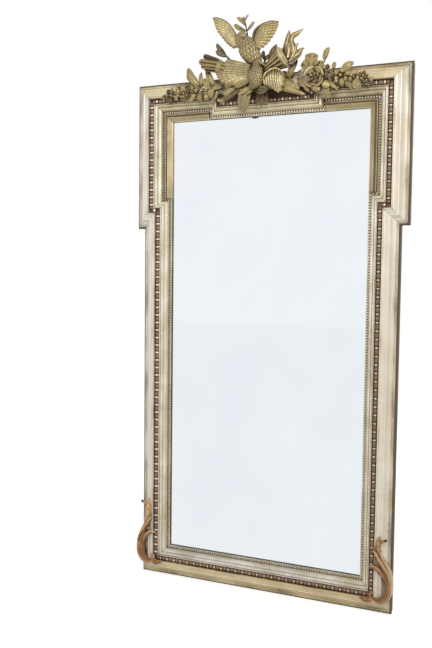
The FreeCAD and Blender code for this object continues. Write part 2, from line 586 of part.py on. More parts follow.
def make_hangers():
    """On each stile a plate with a rolled knuckle, its screws and the ring that swings in it."""
    knuckle_radius = RING_WIRE + RING_PLAY + KNUCKLE_WALL
    pin = at(STILE_MIDDLE, RING_DEPTH, HANGER_HEIGHT)
    across = FreeCAD.Vector(1, 0, 0)
    plate = box(
        (STILE_MIDDLE - HANGER_WIDTH / 2, STILE_MIDDLE + HANGER_WIDTH / 2),
        (POCKET_DEPTH - HANGER_THICK, POCKET_DEPTH),
        (HANGER_HEIGHT + 2 * (RING_WIRE + KNUCKLE_WALL), HANGER_HEIGHT + HANGER_LENGTH),
    )
    tongue = box(
        (STILE_MIDDLE - KNUCKLE_LENGTH / 2, STILE_MIDDLE + KNUCKLE_LENGTH / 2),
        (POCKET_DEPTH - HANGER_THICK, POCKET_DEPTH), (HANGER_HEIGHT, HANGER_HEIGHT + HANGER_LENGTH / 2),
    )
    start = pin - across * (KNUCKLE_LENGTH / 2)
    barrel = Part.makeCylinder(knuckle_radius, KNUCKLE_LENGTH, start, across)
    bore_start = pin - across * (KNUCKLE_LENGTH / 2 + CUT_OVERRUN)
    bore = Part.makeCylinder(RING_WIRE + RING_PLAY, KNUCKLE_LENGTH + 2 * CUT_OVERRUN, bore_start, across)
    barrel = barrel.common(box(
        (STILE_MIDDLE - HANGER_WIDTH, STILE_MIDDLE + HANGER_WIDTH), (-POCKET_DEPTH, POCKET_DEPTH),
        (HANGER_HEIGHT - HANGER_LENGTH, HANGER_HEIGHT + HANGER_LENGTH),
    ))
    hanger = plate.fuse([tongue, barrel]).cut(bore)
    for place in screw_places():
        hanger = hanger.cut(screw_hole(place, SCREW_RADIUS + SCREW_PLAY))
    hanger = hanger.removeSplitter().Solids[0]
    save("hanger_plate_right", hanger)
    save("hanger_plate_left", mirrored(hanger))
    screws = []
    for x, z in screw_places():
        seat = POCKET_DEPTH - HANGER_THICK
        outline = (
            (seat - SCREW_HEAD_RISE, SCREW_RADIUS), (seat, SCREW_HEAD_RADIUS), (seat, SCREW_RADIUS),
            (seat + SCREW_LENGTH, SCREW_RADIUS),
        )
        up = FreeCAD.Vector(0, 0, 1)
        screws.append(skin([oval(at(x, out, z), across * radius, up * radius) for out, radius in outline]))
    save("hanger_screws", *(screws + [mirrored(piece) for piece in screws]))
    ring = make_ring(pin)
    save("hanging_ring_right", ring)
    save("hanging_ring_left", mirrored(ring))


def make_ring(pin):
    """A D ring: a round bar in the knuckle and a bent loop of the same wire, welded to its ends."""
    across, down = FreeCAD.Vector(1, 0, 0), FreeCAD.Vector(0, 0, -1)
    bar = Part.makeCylinder(RING_WIRE, 2 * RING_HALF_WIDTH, pin - across * RING_HALF_WIDTH, across)
    forward = FreeCAD.Vector(0, -RING_WIRE, 0)
    head = pin - down * RING_WIRE
    centre = pin + down * RING_DROP
    loop = [oval(head - across * RING_HALF_WIDTH, across * RING_WIRE, forward)]
    for i in range(RING_SIDES + 1):
        turn = math.pi * i / RING_SIDES
        spoke = across * -math.cos(turn) + down * math.sin(turn)
        loop.append(oval(centre + spoke * RING_HALF_WIDTH, spoke * -RING_WIRE, forward))
    loop.append(oval(head + across * RING_HALF_WIDTH, across * -RING_WIRE, forward))
    return bar.fuse(skin(loop)).Solids[0]


# Carving: leaves, wings and turned forms, placed by shares of the carver's module

def crest_point(across, up, forward):
    """A place on the crest, from the middle of the frame's top edge and the ridge of the moulding."""
    return at(across * CREST_MODULE, RIDGE + forward * CREST_MODULE, FRAME_HEIGHT + up * CREST_MODULE)


def blade(root, tip, width, bow):
    """A leaf or flame: a three-sided section that swells from the root and runs out at the tip."""
    line = tip - root
    side = FreeCAD.Vector(0, -1, 0).cross(line).normalize()
    lift = FreeCAD.Vector(0, -1, 0)
    rings = []
    for share, breadth in BLADE_SHARES:
        middle = root + line * share + side * (bow * math.sin(math.pi * share))
        half = side * (width * breadth / 2)
        rings.append([middle - half, middle + lift * (width * LEAF_RISE_SHARE * breadth), middle + half])
    return skin(rings + [[tip]])


def crest_blade(values):
    """A blade from one row of shares."""
    root, tip = crest_point(*values[:3]), crest_point(*values[3:6])
    return blade(root, tip, values[6] * CREST_MODULE, values[7] * CREST_MODULE)


def wing(feathers, near, far):
    """A spread wing: each feather a ridge from root to tip, with a groove and a notch between; near and far
    are the forward shares of the roots and of the tips."""
    lift = FreeCAD.Vector(0, -WING_THICK_SHARE * CREST_MODULE, 0)

    def rib(row, reach, rise):
        root = crest_point(row[0], row[1], near)
        line = (crest_point(row[2], row[3], far) - root) * reach
        middle, tip = root + line * 5 / 8, root + line
        return [root + lift * rise, middle + lift * rise, tip, middle - lift / 4, root - lift / 2]
    rings = []
    for i, row in enumerate(feathers):
        if i:
            groove = [(a + b) / 2 for a, b in zip(feathers[i - 1], row)]
            rings.append(rib(groove, 9 / 10, 1 / 2))
        rings.append(rib(row, 1, 1))
    return skin(rings)


def body(stations):
    """A bird's body: oval rings along the line from beak to tail, turned to face along it."""
    middles = [crest_point(*row[:3]) for row in stations]
    rings = []
    for i, row in enumerate(stations):
        line = middles[min(i + 1, len(middles) - 1)] - middles[max(i - 1, 0)]
        side = FreeCAD.Vector(0, -1, 0).cross(line).normalize()
        lift = line.cross(side).normalize()
        rings.append(oval(middles[i], side * (row[3] * CREST_MODULE), lift * (row[4] * CREST_MODULE)))
    return skin(rings)


def oval(middle, side, lift):
    """Points round an oval with the two given half axes."""
    turns = [2 * math.pi * i / RING_SIDES for i in range(RING_SIDES)]
    return [middle + side * math.cos(turn) + lift * math.sin(turn) for turn in turns]


def turned(ends, outline):
    """A turned form between two ends, from (along, radius) shares."""
    start, end = crest_point(*ends[0]), crest_point(*ends[1])
    line = end - start
    side = FreeCAD.Vector(0, -1, 0).cross(line).normalize()
    lift = line.cross(side).normalize()
    return skin([
        oval(start + line * share, side * (radius * CREST_MODULE), lift * (radius * CREST_MODULE))
        for share, radius in outline
    ])


def blossom(place, radius, rise, rings, petals):
    """A flower: lobed rings that step in and forward, two points to a petal."""
    middle = crest_point(*place)
    turns = [math.pi * i / petals for i in range(2 * petals)]
    shape = []
    for breadth, forward in rings:
        shape.append([
            middle + FreeCAD.Vector(math.cos(turn), 0, math.sin(turn)) * (radius * breadth * (1 - (i % 2) / 6))
            + FreeCAD.Vector(0, -rise * forward, 0)
            for i, turn in enumerate(turns)
        ])
    return skin(shape)


def joined(pieces):
    """Carve several forms out of one piece of wood."""
    return pieces[0] if len(pieces) == 1 else pieces[0].fuse(pieces[1:])


def scribed(shape, neighbours):
    """Fit a piece against those already in place, and drop the chips that the fitting leaves."""
    near = [piece for piece in neighbours if piece.BoundBox.intersect(shape.BoundBox)]
    fitted = shape.cut(near) if near else shape
    solids = [piece for piece in fitted.Solids if piece.Volume > CHIP_LENGTH ** 3]
    return solids


def garland(leaves, buds):
    """Leaves laid one over the next along the frieze, with small blossoms between."""
    pieces = [crest_blade(row) for row in leaves]
    for across, up, radius in buds:
        size = radius * CREST_MODULE
        pieces.append(blossom((across, up, 0), size, size, BUD_RING_SHARES, BUD_PETALS))
    return joined(pieces)


def make_crest():
    """The carved trophy: two doves, quiver, torch, rose and garlands, fitted one against another."""
    backing = slab(
        [(x * CREST_MODULE, FRAME_HEIGHT + z * CREST_MODULE) for x, z in BACKING_SHARES],
        RIDGE, RIDGE + BACKING_THICK_SHARE * CREST_MODULE,
    )
    strap_foot = RIDGE + BACKING_THICK_SHARE * CREST_MODULE
    strap = slab(
        [(x * CREST_MODULE, FRAME_HEIGHT + z * CREST_MODULE) for x, z in STRAP_SHARES],
        strap_foot, strap_foot + STRAP_THICK_SHARE * CREST_MODULE,
    )
    upper = joined([
        body(UPPER_BODY_SHARES), wing(UPPER_LEFT_WING_SHARES, *UPPER_WING_FORWARD_SHARES),
        wing(UPPER_RIGHT_WING_SHARES, *UPPER_WING_FORWARD_SHARES),
    ])
    lower = joined([
        body(LOWER_BODY_SHARES), wing(LOWER_LEFT_WING_SHARES, *LOWER_LEFT_WING_FORWARD_SHARES),
        wing(LOWER_RIGHT_WING_SHARES, *LOWER_RIGHT_WING_FORWARD_SHARES),
    ])
    rose = blossom(ROSE_PLACE_SHARE, ROSE_RADIUS, ROSE_RISE, ROSE_RING_SHARES, ROSE_PETALS)
    pieces = (
        ("crest_backing", backing),
        ("crest_strap", strap),
        ("lower_dove", lower),
        ("upper_dove", upper),
        ("quiver", turned(QUIVER_END_SHARES, QUIVER_OUTLINE_SHARES)),
        ("torch", turned(TORCH_END_SHARES, TORCH_OUTLINE_SHARES)),
        ("rose", rose),
        ("quiver_arrows", joined([crest_blade(row) for row in ARROW_SHARES])),
        ("torch_flame", joined([crest_blade(row) for row in FLAME_SHARES])),
        ("olive_sprig", joined([crest_blade(row) for row in SPRIG_SHARES])),
        ("rose_leaves", joined([crest_blade(row) for row in ROSE_LEAF_SHARES])),
        ("crest_leaves", joined([crest_blade(row) for row in LEAF_SHARES])),
        ("garland_left", garland(LEFT_GARLAND_SHARES, LEFT_BUD_SHARES)),
        ("garland_right", garland(RIGHT_GARLAND_SHARES, RIGHT_BUD_SHARES)),
    )
    placed = []
    for node, shape in pieces:
        solids = scribed(shape, placed)
        save(node, *solids)
        placed += solids


def scroll_point(across, up, forward):
    """A place on the right corner scroll, from the frame's outer bottom corner and the ridge."""
    return at(BODY_HALF_WIDTH + across * SCROLL_MODULE, RIDGE + forward * SCROLL_MODULE, up * SCROLL_MODULE)


def band(stations):
    """A carved band: five-sided rings square to its line, widest a little below the crown."""
    height, narrow = SCROLL_WAIST_SHARES
    middles = [scroll_point(row[0], row[1], row[4]) for row in stations]
    rings = []
    for i, row in enumerate(stations):
        line = middles[min(i + 1, len(middles) - 1)] - middles[max(i - 1, 0)]
        side = FreeCAD.Vector(0, -1, 0).cross(line).normalize() * (row[2] * SCROLL_MODULE)
        foot, crown = middles[i], scroll_point(row[0], row[1], row[3])
        waist = foot + (crown - foot) * height
        rings.append([foot - side * narrow, waist - side, crown, waist + side, foot + side * narrow])
    return skin(rings)


def make_scrolls():
    """The open leaf scroll on each bottom corner, hollowed at the back to sit over the outer moulding."""
    pieces = [band(SCROLL_BAND_SHARES), band(SCROLL_HOOK_SHARES)]
    for row in SCROLL_LEAF_SHARES:
        root, tip = scroll_point(*row[:3]), scroll_point(*row[3:6])
        pieces.append(blade(root, tip, row[6] * SCROLL_MODULE, row[7] * SCROLL_MODULE))
    seats = [run(outer_corners, i, OUTER_START, OUTER_WIDTH, OUTER_RISE, HOLLOW_SHARES) for i in (0, 7)]
    solids = scribed(joined(pieces), seats)
    save("corner_scroll_right", *solids)
    save("corner_scroll_left", *[mirrored(piece) for piece in solids])


def main():
    os.makedirs("parts", exist_ok=True)
    make_carcass()
    make_frieze()
    make_mouldings()
    make_strings()
    make_plate()
    make_wedges()
    make_back_boards()
    make_hangers()
    make_crest()
    make_scrolls()


main()
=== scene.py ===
# %% [markdown]
# # A gilded wall mirror with a carved crest
# The joiner's model of this mirror is already packed: every rail, moulding length, board and ring has its true
# size and place. This lesson dresses it in Blender. Where a solid's plain form is right it keeps its mesh and
# gets a finish. Where the real piece is carved or moulded finer, a new surface is computed and takes its place.

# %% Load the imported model
import math
from functools import partial

import bpy
import numpy as np
from mathutils import Matrix, Vector


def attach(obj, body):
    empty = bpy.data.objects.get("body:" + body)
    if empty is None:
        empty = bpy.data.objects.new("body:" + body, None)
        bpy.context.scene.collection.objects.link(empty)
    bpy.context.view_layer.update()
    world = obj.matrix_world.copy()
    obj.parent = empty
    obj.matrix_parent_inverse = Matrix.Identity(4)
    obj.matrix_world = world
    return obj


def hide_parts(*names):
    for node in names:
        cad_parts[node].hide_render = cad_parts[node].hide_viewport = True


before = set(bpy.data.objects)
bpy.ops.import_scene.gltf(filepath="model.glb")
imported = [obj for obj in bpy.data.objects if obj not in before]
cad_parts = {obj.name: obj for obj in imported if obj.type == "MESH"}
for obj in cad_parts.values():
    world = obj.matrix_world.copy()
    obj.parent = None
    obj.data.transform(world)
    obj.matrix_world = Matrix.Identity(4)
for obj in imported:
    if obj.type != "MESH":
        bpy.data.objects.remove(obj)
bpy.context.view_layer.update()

# %% [markdown]
# ## Camera
# The mirror hangs upright and is seen from its right front at chest height. The camera's place and turn come from
# the straight lines of the frame: its sight edge, its ears and its outer edges. The three rows below are where
# the picture's right, down and inward directions point in the room. The long side of the picture is its height,
# so the lens follows from the focal length in pixels, the 648 pixels of the height and a 36 mm sensor.

# %% Set the camera
PICTURE_HEIGHT, FOCAL_PIXELS, SENSOR = 648, 792.58, 36.0
camera_place = (0.97699, -2.65730, 0.22633)
camera_rows = np.array((
    (0.91453168, 0.40435970, 0.01122220),
    (0.03611597, -0.05400692, -0.99788623),
    (-0.40290077, 0.91300623, -0.06399643),
))
scene = bpy.context.scene
lens = bpy.data.cameras.new("view")
lens.sensor_fit, lens.sensor_width = "AUTO", SENSOR
lens.lens = SENSOR * FOCAL_PIXELS / PICTURE_HEIGHT
lens.clip_start, lens.clip_end = 0.05, 50
camera = bpy.data.objects.new("view", lens)
scene.collection.objects.link(camera)
turn = Matrix(np.stack([camera_rows[0], -camera_rows[1], -camera_rows[2]], axis=1).tolist()).to_4x4()
camera.matrix_world = Matrix.Translation(camera_place) @ turn
scene.camera = camera
scene.view_settings.view_transform = "Standard"
print("lens", round(lens.lens, 2), "mm")

# %% [markdown]
# ## Light and stage
# A white room: what looks white to the camera, and in the mirror, is the world itself at strength 1 for camera,
# glossy and transmission rays. Diffuse light comes from a weaker world and three soft lamps, so that a colour
# shows about as it is written. The floor lies at the foot of the frame and keeps its shadow. Farther from the
# frame the lamps reach it less, so there its own glow rises and it stays white.

# %% Make the helpers for shader nodes
def feed(tree, value, socket):
    """Join a socket to another one, or give it a plain value."""
    if isinstance(value, bpy.types.NodeSocket):
        tree.links.new(value, socket)
    else:
        socket.default_value = value


def node(tree, kind, sockets=(), **values):
    """Add a shader node, set its properties by name, and feed its inputs by name or by number."""
    made = tree.nodes.new(kind)
    for key, value in values.items():
        setattr(made, key, value)
    for key, value in dict(sockets).items():
        feed(tree, value, made.inputs[key])
    return made


def arithmetic(tree, operation, *values):
    """The result of a math node whose inputs are sockets or plain numbers."""
    return node(tree, "ShaderNodeMath", enumerate(values), operation=operation).outputs[0]


def ramp(tree, value, low, high, start=0.0, end=1.0):
    """A smooth step from start to end while the value goes from low to high."""
    sockets = enumerate((value, low, high, start, end))
    return node(tree, "ShaderNodeMapRange", sockets, interpolation_type="SMOOTHSTEP").outputs[0]


def object_place(tree):
    """The place of a point on its object. Every object here sits at the origin, so it is the place in the room."""
    return node(tree, "ShaderNodeTexCoord").outputs["Object"]


print("node helpers ready")

# %% Build the world, the lamps and the floor
AMBIENT, FLOOR_PAINT, MIRRORED_GLOW = 0.34, 0.8, 0.97
FLOOR_DROP, FLOOR_HALF = 0.9155, 14.0
GLOW_STARTS, GLOW_ENDS, GLOW_NEAR, GLOW_FAR = 0.6, 2.8, 0.50, 0.72
WHITE = (1, 1, 1, 1)

world = bpy.data.worlds.new("white room")
scene.world = world
world.use_nodes = True
tree = world.node_tree
path = node(tree, "ShaderNodeLightPath").outputs
direct = arithmetic(tree, "MAXIMUM", path["Is Camera Ray"], path["Is Glossy Ray"])
direct = arithmetic(tree, "MAXIMUM", direct, path["Is Transmission Ray"])
level = node(tree, "ShaderNodeMapRange", {0: direct, 3: AMBIENT, 4: 1.0}).outputs[0]
feed(tree, WHITE, tree.nodes["Background"].inputs["Color"])
feed(tree, level, tree.nodes["Background"].inputs["Strength"])


def lamp(name, place, target, size, watts, tint=(1, 1, 1)):
    """A square soft lamp that faces a target."""
    light = bpy.data.lights.new(name, "AREA")
    light.shape, light.size, light.energy, light.color = "SQUARE", size, watts, tint
    made = bpy.data.objects.new(name, light)
    scene.collection.objects.link(made)
    made.location = place
    made.rotation_euler = (Vector(place) - Vector(target)).to_track_quat("Z", "Y").to_euler()


lamp("key_lamp", (1.5, -3.2, 1.9), (0, 0, 0.2), 1.3, 92, (1.0, 0.985, 0.96))
lamp("fill_lamp", (-3.3, -2.9, 0.6), (0, 0, 0), 1.8, 28)
lamp("back_lamp", (0.8, 2.6, 1.4), (0, 0, 0), 2.0, 40)

corners = [(x * FLOOR_HALF, y * FLOOR_HALF, -FLOOR_DROP) for x, y in ((-1, -1), (1, -1), (1, 1), (-1, 1))]
floor_mesh = bpy.data.meshes.new("floor")
floor_mesh.from_pydata(corners, [], [(0, 1, 2, 3)])
floor = bpy.data.objects.new("floor", floor_mesh)
scene.collection.objects.link(floor)
paint = bpy.data.materials.new("floor_white")
paint.use_nodes = True
tree = paint.node_tree
tree.nodes.clear()
path = node(tree, "ShaderNodeLightPath").outputs
reflected = arithmetic(tree, "MAXIMUM", path["Is Glossy Ray"], path["Is Transmission Ray"])
away = node(tree, "ShaderNodeVectorMath", {0: object_place(tree)}, operation="LENGTH").outputs["Value"]
glow = ramp(tree, away, GLOW_STARTS, GLOW_ENDS, GLOW_NEAR, GLOW_FAR)
by_eye = arithmetic(tree, "MULTIPLY", path["Is Camera Ray"], glow)
lit = arithmetic(tree, "MULTIPLY_ADD", reflected, -FLOOR_PAINT, FLOOR_PAINT)
matt = node(tree, "ShaderNodeBsdfDiffuse", {"Color": lit})
strength = arithmetic(tree, "MULTIPLY_ADD", reflected, MIRRORED_GLOW, by_eye)
glow = node(tree, "ShaderNodeEmission", {"Color": WHITE, "Strength": strength})
both = node(tree, "ShaderNodeAddShader", {0: matt.outputs[0], 1: glow.outputs[0]})
node(tree, "ShaderNodeOutputMaterial", {"Surface": both.outputs[0]})
floor_mesh.materials.append(paint)
print("lamps and floor ready")

# %% [markdown]
# ## Surfaces from formulas
# Every carved or moulded piece here is one or more closed skins. A skin is a grid of points: its rows follow the
# length of the form and its columns go once round it, so the last column joins the first and the two end rings
# are closed. A second grid of the same shape, the relief, says how high each point stands in the carving, from
# 0 in a hollow to 1 on a rubbed edge. The gilding reads it, so the quirks are darker, with dirt and painted shade,
# and the ridges paler, with rubbed leaf and painted highlight. A third, the run, is the place along a moulding,
# which tells the gilding where one square of leaf meets the next.

# %% Turn grids into meshes
def tone(red, green, blue):
    """A colour read as 0 to 255 on screen, as the linear values that shaders use: below 0.04045 a straight line,
    above it the power 2.4."""
    screen = np.array((red, green, blue)) / 255
    linear = np.where(screen <= 0.04045, screen / 12.92, ((screen + 0.055) / 1.055) ** 2.4)
    return (*linear.tolist(), 1.0)


def skin(points, relief=0.5, run=0.0):
    """A closed skin: its grid of points, its relief and its run, both spread to the shape of the grid."""
    points = np.asarray(points, float)
    return points, *(np.broadcast_to(np.asarray(value, float), points.shape[:2]) for value in (relief, run))


def grid_faces(rows, columns):
    """Corner numbers of the quads of a grid whose columns close into a ring."""
    number = np.arange(rows * columns).reshape(rows, columns)
    after = np.roll(number, -1, axis=1)
    return np.stack([number[:-1], after[:-1], after[1:], number[1:]], axis=-1).reshape(-1, 4)


def signed_volume(points, quads):
    """Six times the volume inside the quads: the triple product of two edges and a corner, summed."""
    a, b, c, d = (points[quads[:, k]] for k in range(4))
    return np.einsum("ij,ij->i", a, np.cross(b, c) + np.cross(c, d)).sum()


def carve(name, skins, gold, nodes=(), body="frame", sharp=40.0):
    """Make one object from closed skins. Each ring end is closed by one flat face, and a skin that would face
    inwards has its faces turned. Gold names the finish."""
    grids, reliefs, runs = zip(*skins)
    corners, totals, first = [], [], 0
    for grid in grids:
        rows, columns = grid.shape[:2]
        flat = grid.reshape(-1, 3)
        quads = grid_faces(rows, columns)
        ring = np.arange(columns)
        caps = np.stack([ring[::-1], ring + (rows - 1) * columns])
        if signed_volume(flat - flat.mean(axis=0), quads) < 0:
            quads, caps = quads[:, ::-1], caps[:, ::-1]
        corners.append(np.concatenate([quads.ravel(), caps.ravel()]) + first)
        totals.append(np.repeat((4, columns), (len(quads), 2)))
        first += len(flat)
    points = np.concatenate([grid.reshape(-1, 3) for grid in grids])
    corners, totals = np.concatenate(corners), np.concatenate(totals)
    mesh = bpy.data.meshes.new(name)
    mesh.vertices.add(len(points))
    mesh.loops.add(len(corners))
    mesh.polygons.add(len(totals))
    mesh.vertices.foreach_set("co", points.ravel().astype(np.float32))
    mesh.loops.foreach_set("vertex_index", corners.astype(np.int32))
    mesh.polygons.foreach_set("loop_start", (np.cumsum(totals) - totals).astype(np.int32))
    mesh.polygons.foreach_set("loop_total", totals.astype(np.int32))
    mesh.polygons.foreach_set("use_smooth", np.ones(len(totals), bool))
    mesh.update(calc_edges=True)
    mesh.validate()
    mesh.set_sharp_from_angle(angle=math.radians(sharp))
    for label, values in (("relief", reliefs), ("run", runs)):
        made = mesh.attributes.new(label, "FLOAT", "POINT")
        made.data.foreach_set("value", np.concatenate([value.ravel() for value in values]).astype(np.float32))
    mesh.materials.append(finishes[gold])
    made = bpy.data.objects.new(name, mesh)
    scene.collection.objects.link(made)
    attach(made, body)
    if nodes:
        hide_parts(*nodes)
    print(name, len(points), "points", len(totals), "faces")


# %% [markdown]
# ## Gilding, as one shader group
# Old water gilding over gesso shows pale leaf where it is rubbed on the ridges, deeper gold on the flats,
# red-brown bole and dirt in the hollows, and small losses. One group works them out from the relief, a few sizes
# of noise and how closed-in the spot is. That darkening of closed-in spots is dirt and painted shade, the shade
# that falls between carved forms, and the pale ridges are partly a painted highlight. Gold also ages unevenly,
# so a fourth colour, the shade, comes in by patches, towards one side of the frame, and by the squares the leaf
# is laid in: along a moulding each square has its own cast, and where two overlap a thin lap line stays bright
# on the higher parts.

# %% Make the helpers for shader groups
def new_group(name, inputs, outputs):
    """An empty shader group. Its sockets are given as kind and labels; it returns them with the tree."""
    group = bpy.data.node_groups.new(name, "ShaderNodeTree")
    for direction, sockets in (("INPUT", inputs), ("OUTPUT", outputs)):
        for kind, labels in sockets.items():
            for label in labels.split():
                group.interface.new_socket(label, in_out=direction, socket_type="NodeSocket" + kind)
    return group, node(group, "NodeGroupInput").outputs, node(group, "NodeGroupOutput").inputs


def noise(tree, place, scale, detail=3.0, rough=0.5, distortion=0.0):
    """A cloud noise of the given number of lumps to a metre."""
    return node(tree, "ShaderNodeTexNoise", {
        "Vector": place, "Scale": scale, "Detail": detail, "Roughness": rough, "Distortion": distortion}).outputs["Fac"]


def blend(tree, share, first, second):
    """Mix two colours by a share."""
    return node(tree, "ShaderNodeMix", {0: share, 6: first, 7: second}, data_type="RGBA").outputs[2]


def tools(tree):
    """The makers of maths, smooth steps, mixtures and clouds for one tree."""
    return (partial(maker, tree) for maker in (arithmetic, ramp, blend, noise))


def deliver(tree, result, **sockets):
    """Join sockets to the outputs of a group."""
    for label, socket in sockets.items():
        feed(tree, socket, result[label])


print("group helpers ready")

# %% Build the gilding
LEAF_SQUARE, GRAIN_SHARE, RUBBED_CAST = 0.104, 0.35, 0.55
BROAD, PATCHES, LUMPS, SPECKS, GRAIN = 9.0, 17.0, 70.0, 260.0, 620.0
DULL, SHINY, METAL = 0.62, 0.34, 0.24
GOLD_COLOURS, GOLD_NUMBERS = "Rubbed Leaf Bole Shade", "Mottle Dirt Losses Reach Cast Drift Laps"
gilding, given, result = new_group(
    "aged_gilding", {"Color": GOLD_COLOURS, "Float": "Relief Run " + GOLD_NUMBERS},
    {"Color": "Color", "Float": "Roughness Metallic Height"})
calc, step, mix, cloud = tools(gilding)
place = object_place(gilding)
broad, lumps, grain = cloud(place, BROAD, 4.0), cloud(place, LUMPS, 5.0, 0.6), cloud(place, GRAIN, 4.0, 0.65)

# The height decides the layer: relief, moved by the clouds and the grain, less the dirt and painted shade of a
# closed-in spot.
occlusion_shade = node(gilding, "ShaderNodeAmbientOcclusion", {"Distance": given["Reach"]}, samples=8)
closed = step(calc("SUBTRACT", 1.0, occlusion_shade.outputs["AO"]), 0.12, 0.85)
spread = calc("SUBTRACT", calc("MULTIPLY_ADD", broad, 0.8, lumps), 0.9)
height = calc("MULTIPLY_ADD", spread, given["Mottle"], given["Relief"])
height = calc("MULTIPLY_ADD", calc("SUBTRACT", grain, 0.5), GRAIN_SHARE, height)
height = calc("SUBTRACT", height, calc("MULTIPLY", closed, given["Dirt"]))

# The cast is the share of the shade: patches, a drift to the right and downwards, and the squares of leaf.
apart = node(gilding, "ShaderNodeSeparateXYZ", {0: place}).outputs
patches = calc("MULTIPLY", step(cloud(place, PATCHES, 4.0, 0.6), 0.44, 0.62), given["Cast"])
lean = calc("MULTIPLY_ADD", apart[0], 0.6, calc("MULTIPLY", apart[2], -0.25))
drift = calc("MULTIPLY", step(lean, -0.40, 0.45), given["Drift"])
squares = calc("DIVIDE", given["Run"], LEAF_SQUARE)
square = node(gilding, "ShaderNodeTexWhiteNoise", {"W": calc("FLOOR", squares)}, noise_dimensions="1D")
paler = calc("SUBTRACT", square.outputs["Value"], 0.5)
cast = calc("MULTIPLY_ADD", paler, given["Laps"], calc("ADD", patches, drift))
cast = calc("MAXIMUM", calc("MINIMUM", cast, 1.0), 0.0)

# A lap line lies where the place in a square is farthest from its middle, and only on the higher parts.
from_middle = calc("ABSOLUTE", calc("SUBTRACT", calc("FRACT", squares), 0.5))
lap = calc("MULTIPLY", step(from_middle, 0.485, 0.496), given["Laps"])
lap = calc("MULTIPLY", lap, step(height, 0.42, 0.70))

# Bole, then leaf, then rubbed leaf by the height; lap lines and losses lie over them.
specks = cloud(place, SPECKS, 6.0, 0.7)
lost = calc("MULTIPLY", step(calc("MULTIPLY_ADD", broad, 0.5, specks), 0.86, 0.93), given["Losses"])
leaf_tone = mix(cast, given["Leaf"], given["Shade"])
rub_tone = mix(calc("MULTIPLY", cast, RUBBED_CAST), given["Rubbed"], given["Shade"])
colour = mix(step(height, 0.02, 0.48), given["Bole"], leaf_tone)
colour = mix(step(height, 0.50, 0.95), colour, rub_tone)
colour = mix(lost, mix(lap, colour, given["Rubbed"]), given["Bole"])
deliver(
    gilding, result, Color=colour, Roughness=calc("MULTIPLY_ADD", lost, 0.2, step(height, 0.05, 0.9, DULL, SHINY)),
    Metallic=step(height, 0.15, 0.8, 0.0, METAL),
    Height=calc("MULTIPLY_ADD", lost, -0.6, calc("MULTIPLY_ADD", grain, 0.25, lumps)))
print("gilding nodes", len(gilding.nodes))

# %% [markdown]
# ## Wood and metal, as two more groups
# Softwood shows growth rings and fibres as noise stretched along the grain, under darker stains. Old metal is
# bright where hands or use keep it so, and tarnished and dull in clouds elsewhere.

# %% Build the softwood and the old metal
timber, given, result = new_group(
    "sawn_softwood", {"Color": "Pale Dark", "Vector": "Run", "Float": "Stain"},
    {"Color": "Color", "Float": "Roughness Height"})
calc, step, mix, cloud = tools(timber)
place = object_place(timber)
grown = node(timber, "ShaderNodeMapping", {"Vector": place, "Scale": given["Run"]}).outputs[0]
figure = step(cloud(grown, 1.0, 7.0, 0.62, 0.6), 0.36, 0.62)
fibres = cloud(grown, 6.0, 4.0, 0.7)
stained = calc("MULTIPLY", step(cloud(place, 5.0, 5.0, 0.6), 0.42, 0.70), given["Stain"])
deliver(
    timber, result, Color=mix(stained, mix(figure, given["Pale"], given["Dark"]), given["Dark"]),
    Roughness=step(fibres, 0.3, 0.7, 0.62, 0.85), Height=calc("MULTIPLY_ADD", fibres, 0.6, figure))

patina, given, result = new_group(
    "old_metal", {"Color": "Bright Tarnish", "Float": "Age"}, {"Color": "Color", "Float": "Roughness Metallic Height"})
calc, step, mix, cloud = tools(patina)
place = object_place(patina)
pits = cloud(place, 900.0, 4.0, 0.7)
dulled = calc("ADD", calc("MULTIPLY_ADD", pits, 0.5, cloud(place, 90.0, 5.0, 0.6)), given["Age"])
dulled = step(dulled, 0.95, 1.45)
deliver(
    patina, result, Color=mix(dulled, given["Bright"], given["Tarnish"]), Roughness=step(dulled, 0.0, 1.0, 0.28, 0.7),
    Metallic=step(dulled, 0.0, 1.0, 1.0, 0.55), Height=calc("MULTIPLY_ADD", dulled, -0.4, pits))
print("groups", [group.name for group in bpy.data.node_groups])


# %% [markdown]
# ## The finishes
# The Principled shader stays in each material and takes what its group gives. A gilded piece made here reads its
# relief from the mesh. The frieze boards and the crest's backing keep their own plain meshes, so theirs is one
# number. The top of the frame leans away from the light of the room and the bottom catches it from above, so the
# top, bottom and side lengths of a moulding, and the top frieze board, each have their own four colours.

# %% Make the materials
GOLD_BUMP, WOOD_BUMP = (0.5, 0.0006), (0.5, 0.0008)


def finish(name, group, bump, depth, read=(), **values):
    """A material round one placed group. The group's inputs take the values and the attributes of the mesh that
    read names; its colour, roughness, metallic and height go to the Principled shader."""
    material = bpy.data.materials.new(name)
    material.use_nodes = True
    tree = material.node_tree
    for label in read:
        values[label] = node(tree, "ShaderNodeAttribute", attribute_name=label.lower()).outputs["Fac"]
    placed = node(tree, "ShaderNodeGroup", values, node_tree=group).outputs
    raised = node(tree, "ShaderNodeBump", {"Strength": bump, "Distance": depth, "Height": placed["Height"]})
    shader = tree.nodes["Principled BSDF"].inputs
    feed(tree, placed["Color"], shader["Base Color"])
    feed(tree, placed["Roughness"], shader["Roughness"])
    feed(tree, raised.outputs[0], shader["Normal"])
    if "Metallic" in placed:
        feed(tree, placed["Metallic"], shader["Metallic"])
    return material


def gilded(name, *row):
    """A gilded finish from the four colours and seven numbers of its row. An eighth number is the one relief of a
    piece that keeps its plain mesh. With laps, the squares of leaf show along a length."""
    values = {label: tone(*colour) for label, colour in zip(GOLD_COLOURS.split(), row)}
    values.update(zip(GOLD_NUMBERS.split(), row[4:]))
    if len(row) == 12:
        return finish(name, gilding, *GOLD_BUMP, Relief=row[11], **values)
    return finish(name, gilding, *GOLD_BUMP, ("Relief", "Run") if values["Laps"] else ("Relief",), **values)
